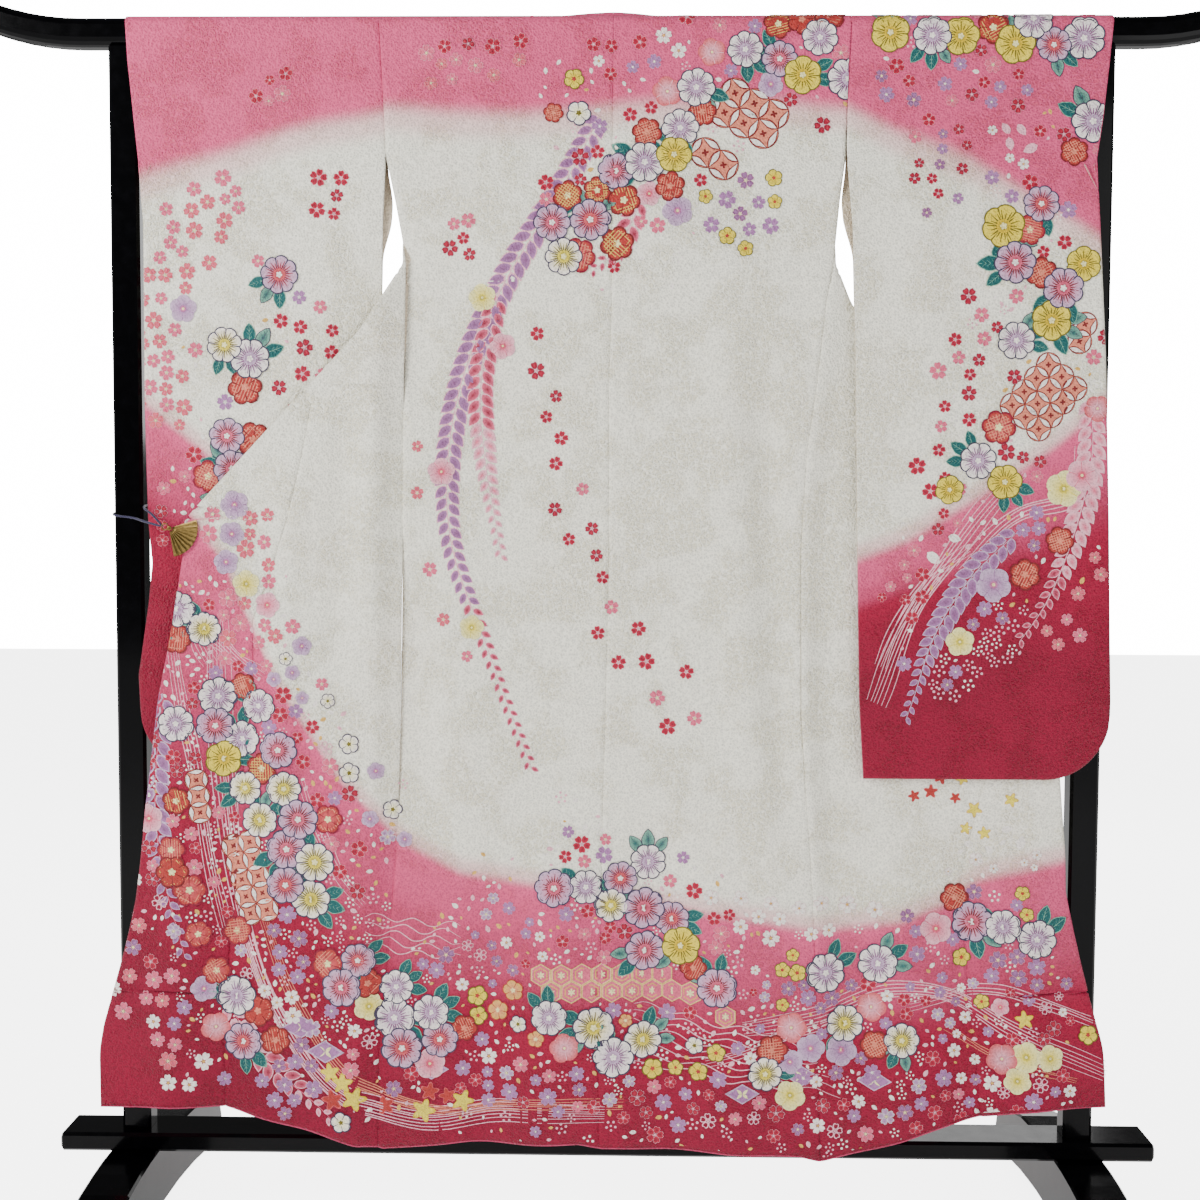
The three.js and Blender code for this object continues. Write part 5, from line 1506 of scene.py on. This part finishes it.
def right_sleeve_painting():
    p = Painting(23)
    p.net("treasure_ring", 592, 1208, 3, 4, 17, -0.72)
    p.net("treasure_ring", 640, 1262, 1, 2, 17, -0.3)
    bed(p, [(372, 1652), (460, 1650), (560, 1650), (650, 1640)], 16, 8, 3, 0, 12, 8, FULL, RED + MAUVE)
    p.scatter([(366, 1590), (430, 1600), (520, 1570), (560, 1600)], 26, MAUVE + RED, (9, 13), 18, 1.1)
    bed(p, [(650, 1536), (616, 1490)], 16, 1, 4, 1, 8, 6)
    bed(p, [(590, 1440), (552, 1400), (536, 1340)], 18, 3, 5, 1, 12, 10)
    p.add("yellow_full", 636, 1342, 24)
    bed(p, [(620, 1300), (580, 1260), (546, 1210), (596, 1190)], 26, 8, 4, 0, 20, 12)
    p.scatter([(650, 1240), (654, 1130)], 12, ("rose_soft", "orange_plum", "coral_soft"), (18, 24), 5, 0.9)
    bed(p, [(545, 1120), (500, 1060)], 18, 2, 2, 0, 14, 8, ("lilac_full", "yellow_full"))
    p.scatter([(500, 1290), (480, 1200), (470, 1100), (430, 1030)], 22, RED, (9.5, 14), 24, 1.1)
    p.scatter([(460, 1540), (420, 1500), (470, 1430)], 30, RED + MAUVE, (8, 11), 14, 1.2)
    p.scatter([(520, 1530), (560, 1500), (540, 1470)], 20, ("white_cherry", "blush_petal"), (7, 11), 8, 1.1)
    for x, z, figure, size in (
        (616, 1042, "cream_soft", 25), (524, 912, "lilac_soft", 24), (480, 834, "cream_soft", 20),
        (566, 926, "orange_plum", 22), (612, 972, "orange_plum", 20), (640, 1060, "rose_soft", 22),
        (462, 1040, "yellow_full", 20),
    ):
        p.add(figure, x, z, size)
    p.vine(curve_through(RIGHT_VINES[0]), ("coral_drop", "coral_drop", "wine_drop"), 11, 16)
    p.vine(curve_through(RIGHT_VINES[1]), ("violet_drop",), 10.5, 15)
    p.scatter([(580, 1010), (520, 900), (460, 830), (430, 780)], 26, MAUVE, (10, 13), 20, 0.9)
    p.scatter([(480, 1000), (420, 930), (380, 880)], 26, RED + ("white_petal",), (7, 12), 14, 1.1)
    p.scatter([(640, 960), (620, 900), (580, 860)], 30, ("coral_cherry", "rose_cherry"), (9, 12), 10, 1.1)
    p.scatter([(640, 1000), (500, 900), (400, 900)], 60, DUST, (3, 5.5), 60, 1.1)
    p.scatter([(600, 900), (520, 850), (450, 760)], 24, CRUMBS, (7, 9), 30, 0.9)
    lines = [
        ([(560, 1065), (500, 1000), (430, 900), (366, 750)], 6, 7.0, 1.6, "blush"),
        ([(640, 1100), (640, 1040), (560, 1010), (480, 930)], 5, 7.0, 1.6, "blush"),
        ([(490, 960), (420, 900), (372, 800)], 4, 7.5, 1.5, "blush"),
        (RIGHT_VINES[0], 1, 0, 1.5, "blush"), (RIGHT_VINES[1], 1, 0, 1.5, "lavender"),
    ]
    return p, lines


def left_sleeve_painting():
    p = Painting(37)
    p.scatter([(-470, 1580), (-450, 1560)], 16, RED, (8, 13), 5, 0.9)
    p.scatter([(-350, 1470), (-370, 1440), (-400, 1420)], 14, RED, (10, 14), 6, 1.0)
    p.scatter([(-396, 1400), (-410, 1390)], 6, ("rose_soft",), (19, 22), 1, 1.0)
    bed(p, [(-440, 1330), (-460, 1310)], 14, 1, 2, 1, 7, 3, ("coral_full",))
    bed(p, [(-510, 1250), (-500, 1210), (-480, 1200)], 20, 3, 3, 1, 12, 4,
        ("cream_full", "pink_full", "lilac_full"))
    bed(p, [(-500, 1120), (-520, 1060), (-536, 1020)], 18, 3, 5, 0, 18, 6, ("lilac_full", "pink_full"))
    p.scatter([(-590, 1290), (-580, 1270)], 14, ("lilac_soft", "cream_soft"), (17, 21), 3, 0.9)
    p.scatter([(-500, 1440), (-560, 1400), (-600, 1330), (-615, 1200), (-600, 1120)], 26, CORAL, (9, 14), 44,
              0.9)
    p.scatter([(-420, 1290), (-410, 1210), (-440, 1150)], 26, RED, (9.5, 14), 12, 1.1)
    p.scatter([(-560, 1100), (-540, 1020), (-570, 980)], 30, ("white_petal",), (3, 5), 12, 1.1)
    bed(p, [(-510, 900), (-460, 840), (-420, 780)], 30, 6, 7, 5, 30, 20)
    p.scatter([(-604, 1060), (-612, 1010), (-606, 960)], 8, RED, (9, 12), 5, 1.0)
    lines = [([(-560, 940), (-520, 880), (-450, 760)], 5, 7, 1.5, "blush")]
    return p, lines


def far_painting(side, seed):
    """The upper front of one side, and the strip folded back below it."""
    upper, turned = Painting(seed), Painting(seed + 1)
    sign = side["sign"]
    bed(upper, [(sign * 250, 1620), (sign * 200, 1560), (sign * 140, 1480)], 26, 5, 5, 2, 16, 12)
    upper.scatter([(sign * 220, 1520), (sign * 160, 1440)], 40, RED + MAUVE, (9, 13), 14, 1.1)
    edge = [(side_seam(side, z) + sign * (lookup(side["front"], z, 3) - 22), z + 40)
            for z in (860, 640, 420, 220)]
    bed(turned, edge[2:], 10, 3, 4, 2, 16, 12)
    turned.scatter(edge, 14, RED + PALE, (9, 13), 30, 1.0)
    return upper, turned


SLEEVE_PAINTINGS = {"left": left_sleeve_painting, "right": right_sleeve_painting}
SHEETS = (
    ("body_panel_left", "body_left", (0.33, 3.12), 0.78),
    ("body_panel_right", "body_right", (0.33, 3.12), 0.81),
    ("okumi_panel_left", "okumi_left", (0.172, 1.18), 0.155),
    ("okumi_panel_right", "okumi_right", (0.172, 1.18), 0.155),
    ("sleeve_panel_left", "sleeve_left", (0.34, 2.07), 0.68),
    ("sleeve_panel_right", "sleeve_right", (0.34, 2.07), 0.70),
    ("collar_band", "collar", (0.056, 1.75), 0.091),
)


# ---- settings a user would change --------------------------------------------------------------
def colour_property(name, text, value):
    return bpy.props.FloatVectorProperty(name=name, description=text, subtype="COLOR", size=4, min=0, max=1,
                                         default=value)


class SilkSettings(bpy.types.PropertyGroup):
    ivory: colour_property("Ivory", "Ground of the silk where it is undyed", linear(234, 231, 216))
    pink: colour_property("Pink", "Dye of the shoulders and above the hem", linear(212, 80, 122))
    crimson: colour_property("Crimson", "Dye along the hem and the sleeve ends", linear(146, 5, 48))
    deep: colour_property("Deep crimson", "Darkest dye, at the hem's edge", linear(104, 2, 34))
    lining: colour_property("Lining", "Plain silk behind the figured silk", linear(216, 200, 176))
    columns: bpy.props.IntProperty(name="Columns", description="Steps across one panel", default=44, min=12,
                                   max=80)


class StandSettings(bpy.types.PropertyGroup):
    lacquer: colour_property("Lacquer", "Black of the stand", linear(2, 2, 3))
    roughness: bpy.props.FloatProperty(name="Roughness", description="Polish of the lacquer", default=0.16,
                                       min=0, max=1)
    bright_brass: colour_property("Bright brass", "Rubbed edges of the clip", linear(168, 140, 82))
    dark_brass: colour_property("Dark brass", "Hollows of the clip", linear(38, 26, 9))
    cord: colour_property("Cord", "Silk of the clip's cord", linear(26, 18, 74))


class StageSettings(bpy.types.PropertyGroup):
    floor: colour_property("Floor", "Plain floor", linear(240, 240, 240))
    sky: bpy.props.FloatProperty(name="Sky", description="Strength of the even light", default=0.36, min=0)
    backdrop: bpy.props.FloatProperty(name="Backdrop", description="Brightness of the white behind",
                                      default=16.0, min=0)
    key: bpy.props.FloatProperty(name="Key", description="Strength of the large lamp", default=112, min=0,
                                 unit="POWER")


# ---- operators -----------------------------------------------------------------------------------
class KIMONO_OT_finishes(bpy.types.Operator):
    """Mix the silks, the lacquer, the brass and the cord"""
    bl_idname = "kimono.finishes"
    bl_label = "Finishes"

    def execute(self, context):
        silk, stand = context.scene.kimono_silk, context.scene.kimono_stand
        crepe_group()
        silk_material("dyed silk", [
            (0.0, silk.ivory), (0.15, mixed(silk.ivory, silk.pink, 0.35)), (0.35, silk.pink),
            (0.52, mixed(silk.pink, silk.crimson, 0.4)), (0.78, silk.crimson), (1.0, silk.deep),
        ])
        silk_material("silk lining", [
            (0.0, silk.lining), (0.4, mixed(silk.lining, silk.pink, 0.5)),
            (0.8, mixed(silk.pink, silk.crimson, 0.3)),
        ], roughness=0.4)
        painted_material()
        silk_material("hem roll", [(0.0, mixed(silk.crimson, silk.pink, 0.45)), (1.0, silk.crimson)],
                      roughness=0.4)
        lacquer_material(tuple(stand.lacquer), stand.roughness)
        brass_material(tuple(stand.bright_brass), tuple(stand.dark_brass))
        cord_material(tuple(stand.cord))
        return {"FINISHED"}


def mixed(first, second, share):
    return tuple(mix(a, b, share) for a, b in zip(first, second))


class KIMONO_OT_body(bpy.types.Operator):
    """Hang the two body panels: up the back, over the bar and down the fronts"""
    bl_idname = "kimono.body"
    bl_label = "Body panels"

    def execute(self, context):
        columns = context.scene.kimono_silk.columns
        for name, side in SIDES.items():
            points = body_points(side, columns)
            lined_cloth(f"body_panel_{name}", points, (0, -1, 0), spread_dye(points), 0.2)
        return {"FINISHED"}


class KIMONO_OT_okumi(bpy.types.Operator):
    """Sew the narrow overlap panels to the fronts"""
    bl_idname = "kimono.okumi"
    bl_label = "Overlap panels"

    def execute(self, context):
        columns = context.scene.kimono_silk.columns // 2 + 6
        for name, side in SIDES.items():
            points = okumi_points(side, columns)
            lined_cloth(f"okumi_panel_{name}", points, (0, -1, 0), spread_dye(points), 0.45)
        return {"FINISHED"}


class KIMONO_OT_sleeves(bpy.types.Operator):
    """Hang the long sleeves over the bar, sewn round their outer corners"""
    bl_idname = "kimono.sleeves"
    bl_label = "Sleeves"

    def execute(self, context):
        columns = context.scene.kimono_silk.columns
        for name, side in SIDES.items():
            points = sleeve_points(side, columns)
            lined_cloth(f"sleeve_panel_{name}", points, (0, -1, 0), sleeve_dye(name, points), 0.2)
        return {"FINISHED"}


class KIMONO_OT_collar(bpy.types.Operator):
    """Lay the collar band round the neck and down the fronts"""
    bl_idname = "kimono.collar"
    bl_label = "Collar"

    def execute(self, context):
        points = collar_points(14)
        lined_cloth("collar_band", points, (0, 1, 0), spread_dye(points), 0.05)
        return {"FINISHED"}


class KIMONO_OT_hems(bpy.types.Operator):
    """Roll the lining out along the hem as a thin padded edge"""
    bl_idname = "kimono.hems"
    bl_label = "Hem rolls"

    def execute(self, context):
        columns = context.scene.kimono_silk.columns
        for name, side in SIDES.items():
            rows = body_points(side, columns)
            paths = {"body": np.concatenate([rows[0], rows[-1][::-1]]),
                     "okumi": okumi_points(side, columns // 2 + 6)[-1]}
            for panel, path in paths.items():
                keep = np.concatenate([[True], np.linalg.norm(np.diff(path, axis=0), axis=1) > 0.8])
                path = path[keep] + (0, 0, -0.6)
                rings = tube_rings(path, HEM_ROLL, 6)
                ride_as(ring_loft(f"{panel}_{name}_hem_roll", rings, "hem roll"))
        return {"FINISHED"}


class KIMONO_OT_painting(bpy.types.Operator):
    """Paint the flowers, vines and streams on the silk"""
    bl_idname = "kimono.painting"
    bl_label = "Painting"

    def execute(self, context):
        for name, (make, values) in FIGURES.items():
            figure_mesh(name, make, values)
        painting, lines = spread_painting()
        tree = cloth_tree(["body_panel_left", "body_panel_right", "okumi_panel_left", "okumi_panel_right"])
        shares = {"body_left": [], "body_right": [], "okumi_left": [], "okumi_right": []}
        for sprig in painting.coated():
            shares[panel_of(sprig[1], sprig[2])].append(sprig)
        for panel, sprigs in shares.items():
            own = [values for values in lines if panel_of(*values[0][len(values[0]) // 2]) == panel]
            paint(f"{panel}_painting", sprigs, own, spread_point, spread_trim, tree)
        for name, side in SIDES.items():
            upper, turned = far_painting(side, 51 if name == "left" else 61)
            paint(f"body_{name}_painting_far", upper.coated(), [], far_front_place, far_front_trim(side),
                  tree, 1)
            paint(f"okumi_{name}_painting_far", turned.coated(), [], turned_place(side), turned_trim(side),
                  tree, 1)
        for name, side in SIDES.items():
            tree = cloth_tree([f"sleeve_panel_{name}"])
            painting, lines = SLEEVE_PAINTINGS[name]()

            def near(x, z, side=side):
                return sleeve_near_point(side, x, z)

            sprigs = painting.coated()
            paint(f"sleeve_{name}_painting_near", sprigs, lines, near, sleeve_trim(side, 0), tree)
            low = [sprig for sprig in sprigs if sprig[2] + sprig[3] < BAR["bottom"] - 8]
            paint(f"sleeve_{name}_painting_far", low, lines, sleeve_far_place(side), sleeve_trim(side, 1),
                  tree, 1)
        return {"FINISHED"}


class KIMONO_OT_sheets(bpy.types.Operator):
    """Attach each length of silk to the root and hide the imported piece it stands for"""
    bl_idname = "kimono.sheets"
    bl_label = "Cut sizes"

    def execute(self, context):
        for name, node, flat, area in SHEETS:
            piece = bpy.data.objects[name]
            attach(piece, "root")
            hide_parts(node)
        return {"FINISHED"}


def recolour(node, material):
    """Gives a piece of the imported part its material."""
    node.data.materials.clear()
    node.data.materials.append(bpy.data.materials[material])


class KIMONO_OT_stand(bpy.types.Operator):
    """Lacquer the stand"""
    bl_idname = "kimono.stand"
    bl_label = "Stand"

    def execute(self, context):
        for name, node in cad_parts.items():
            if name.startswith("stand"):
                recolour(node, "black lacquer")
        return {"FINISHED"}


class KIMONO_OT_clip(bpy.types.Operator):
    """Fasten the fan clip and its cord"""
    bl_idname = "kimono.clip"
    bl_label = "Fan clip"

    def execute(self, context):
        recolour(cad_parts["fan_clip"], "antique brass")
        recolour(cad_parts["clip_cord"], "silk cord")
        x, y, z, radius = FAN["x"], FAN["y"], FAN["z"], FAN["radius"]
        parts = []
        for k in range(FAN["ribs"]):
            a = math.radians(mix(FAN["from"], FAN["to"], (k + 0.5) / FAN["ribs"]))
            rings = []
            for share in np.linspace(0, 1, 7):
                reach = mix(FAN["inner"], radius * 0.97, share)
                wide, high = mix(0.5, 1.3, share), 0.55 * (1 - 0.7 * abs(2 * share - 1) ** 6)
                rings.append([
                    (x + reach * math.cos(a) - wide * math.cos(t) * math.sin(a),
                     y - 1.5 - high * math.sin(t) - share * 0.4,
                     z + reach * math.sin(a) + wide * math.cos(t) * math.cos(a))
                    for t in np.linspace(0, 2 * math.pi, 9)[:-1]
                ])
            parts.append(ring_loft(f"fan_rib_{k}", rings, "antique brass"))
        turn = np.linspace(0, 2 * math.pi, 29)[:-1]
        circle = np.stack([
            x + CLIP_RING["aside"] + CLIP_RING["radius"] * np.cos(turn),
            np.full_like(turn, y + CLIP_RING["ahead"]),
            z + CLIP_RING["up"] + CLIP_RING["radius"] * np.sin(turn),
        ], axis=1)
        parts.append(ring_loft("clip_ring", tube_rings(circle, CLIP_RING["wire"]), "antique brass",
                               closed=True))
        pivot = [(x + 0.6 + r * math.cos(a), y - 1.2 - d, z + r * math.sin(a)) for r, d in FAN_PIVOT
                 for a in turn]
        parts.append(ring_loft("fan_pivot", np.array(pivot).reshape(len(FAN_PIVOT), -1, 3), "antique brass"))
        for part in parts:
            ride_as(part)
        return {"FINISHED"}


class KIMONO_OT_stage(bpy.types.Operator):
    """Set the floor, the soft light and the camera"""
    bl_idname = "kimono.stage"
    bl_label = "Stage"

    def execute(self, context):
        stage = context.scene.kimono_stage
        tree, shader = new_material("plain floor", {"Roughness": 0.9, "Emission Color": (1, 1, 1, 1)})
        cloud = noise(tree, object_place(tree), 2.0, 2.0)
        tone = two_colours(tree, cloud, shaded(stage.floor, 0.97), stage.floor)
        tree.links.new(tone, shader.inputs["Base Color"])
        rays = add_node(tree, "ShaderNodeLightPath").outputs
        tree.links.new(ranged(tree, rays["Is Camera Ray"], 0.9, 5.0), shader.inputs["Emission Strength"])
        work = bmesh.new()
        bmesh.ops.create_grid(work, x_segments=8, y_segments=8, size=9)
        link_object("floor", new_mesh("floor", work), "plain floor")
        world = bpy.data.worlds.new("even light")
        world.use_nodes = True
        tree = world.node_tree
        background = tree.nodes["Background"]
        background.inputs["Color"].default_value = (1.0, 1.0, 1.0, 1.0)
        rays = add_node(tree, "ShaderNodeLightPath").outputs
        seen = ranged(tree, rays["Is Camera Ray"], stage.sky, stage.backdrop)
        mirrored = ranged(tree, rays["Is Glossy Ray"], 1.0, 0.35)
        tree.links.new(maths(tree, "MULTIPLY", seen, mirrored), background.inputs["Strength"])
        context.scene.world = world
        middle = Vector((0, 0, 0.9))
        for name, place, size, power in (
            ("key", (-2.5, -2.0, 2.4), 1.3, stage.key), ("fill", (2.4, -2.6, 1.4), 2.0, stage.key * 0.3),
            ("rear", (0.6, 3.0, 2.2), 2.0, stage.key * 0.5),
        ):
            light = bpy.data.lights.new(name, "AREA")
            light.size = size
            light.energy = power
            lamp = bpy.data.objects.new(name, light)
            lamp.location = place
            lamp.rotation_euler = (middle - Vector(place)).to_track_quat("-Z", "Y").to_euler()
            context.scene.collection.objects.link(lamp)
        aim_camera(context.scene)
        return {"FINISHED"}


def aim_camera(scene):
    yaw, pitch, roll = (math.radians(CAMERA[key]) for key in ("yaw", "pitch", "roll"))
    ahead = Vector((math.sin(yaw) * math.cos(pitch), math.cos(yaw) * math.cos(pitch), -math.sin(pitch)))
    level = Vector((math.cos(yaw), -math.sin(yaw), 0))
    up = level.cross(ahead)
    right = math.cos(roll) * level + math.sin(roll) * up
    top = math.cos(roll) * up - math.sin(roll) * level
    data = bpy.data.cameras.new("camera")
    data.sensor_width = 36
    data.lens = data.sensor_width * CAMERA["focal"] / CAMERA["frame"]
    data.clip_start, data.clip_end = 0.05, 50
    camera = bpy.data.objects.new("camera", data)
    place = Vector(CAMERA["place"]) * MM
    camera.matrix_world = Matrix([
        (right.x, top.x, -ahead.x, place.x), (right.y, top.y, -ahead.y, place.y),
        (right.z, top.z, -ahead.z, place.z), (0, 0, 0, 1),
    ])
    scene.collection.objects.link(camera)
    scene.camera = camera


# ---- panel and registration ----------------------------------------------------------------------
STEPS = (
    KIMONO_OT_finishes, KIMONO_OT_stage, KIMONO_OT_body, KIMONO_OT_okumi, KIMONO_OT_sleeves, KIMONO_OT_collar,
    KIMONO_OT_hems, KIMONO_OT_painting, KIMONO_OT_sheets, KIMONO_OT_stand, KIMONO_OT_clip,
)
SETTINGS = {"kimono_silk": SilkSettings, "kimono_stand": StandSettings, "kimono_stage": StageSettings}


class KIMONO_PT_panel(bpy.types.Panel):
    bl_label = "Furisode on a stand"
    bl_idname = "KIMONO_PT_panel"
    bl_space_type = "VIEW_3D"
    bl_region_type = "UI"
    bl_category = "Kimono"

    def draw(self, context):
        for name, group in SETTINGS.items():
            for value in group.__annotations__:
                self.layout.prop(getattr(context.scene, name), value)
        for step in STEPS:
            self.layout.operator(step.bl_idname)


def register():
    for made in (*SETTINGS.values(), *STEPS, KIMONO_PT_panel):
        bpy.utils.register_class(made)
    for name, group in SETTINGS.items():
        setattr(bpy.types.Scene, name, bpy.props.PointerProperty(type=group))


def unregister():
    for name in SETTINGS:
        delattr(bpy.types.Scene, name)
    for made in (KIMONO_PT_panel, *reversed(STEPS), *SETTINGS.values()):
        bpy.utils.unregister_class(made)


def main():
    register()
    for step in STEPS:
        area, action = step.bl_idname.split(".")
        getattr(getattr(bpy.ops, area), action)()


if __name__ == "__main__":
    main()
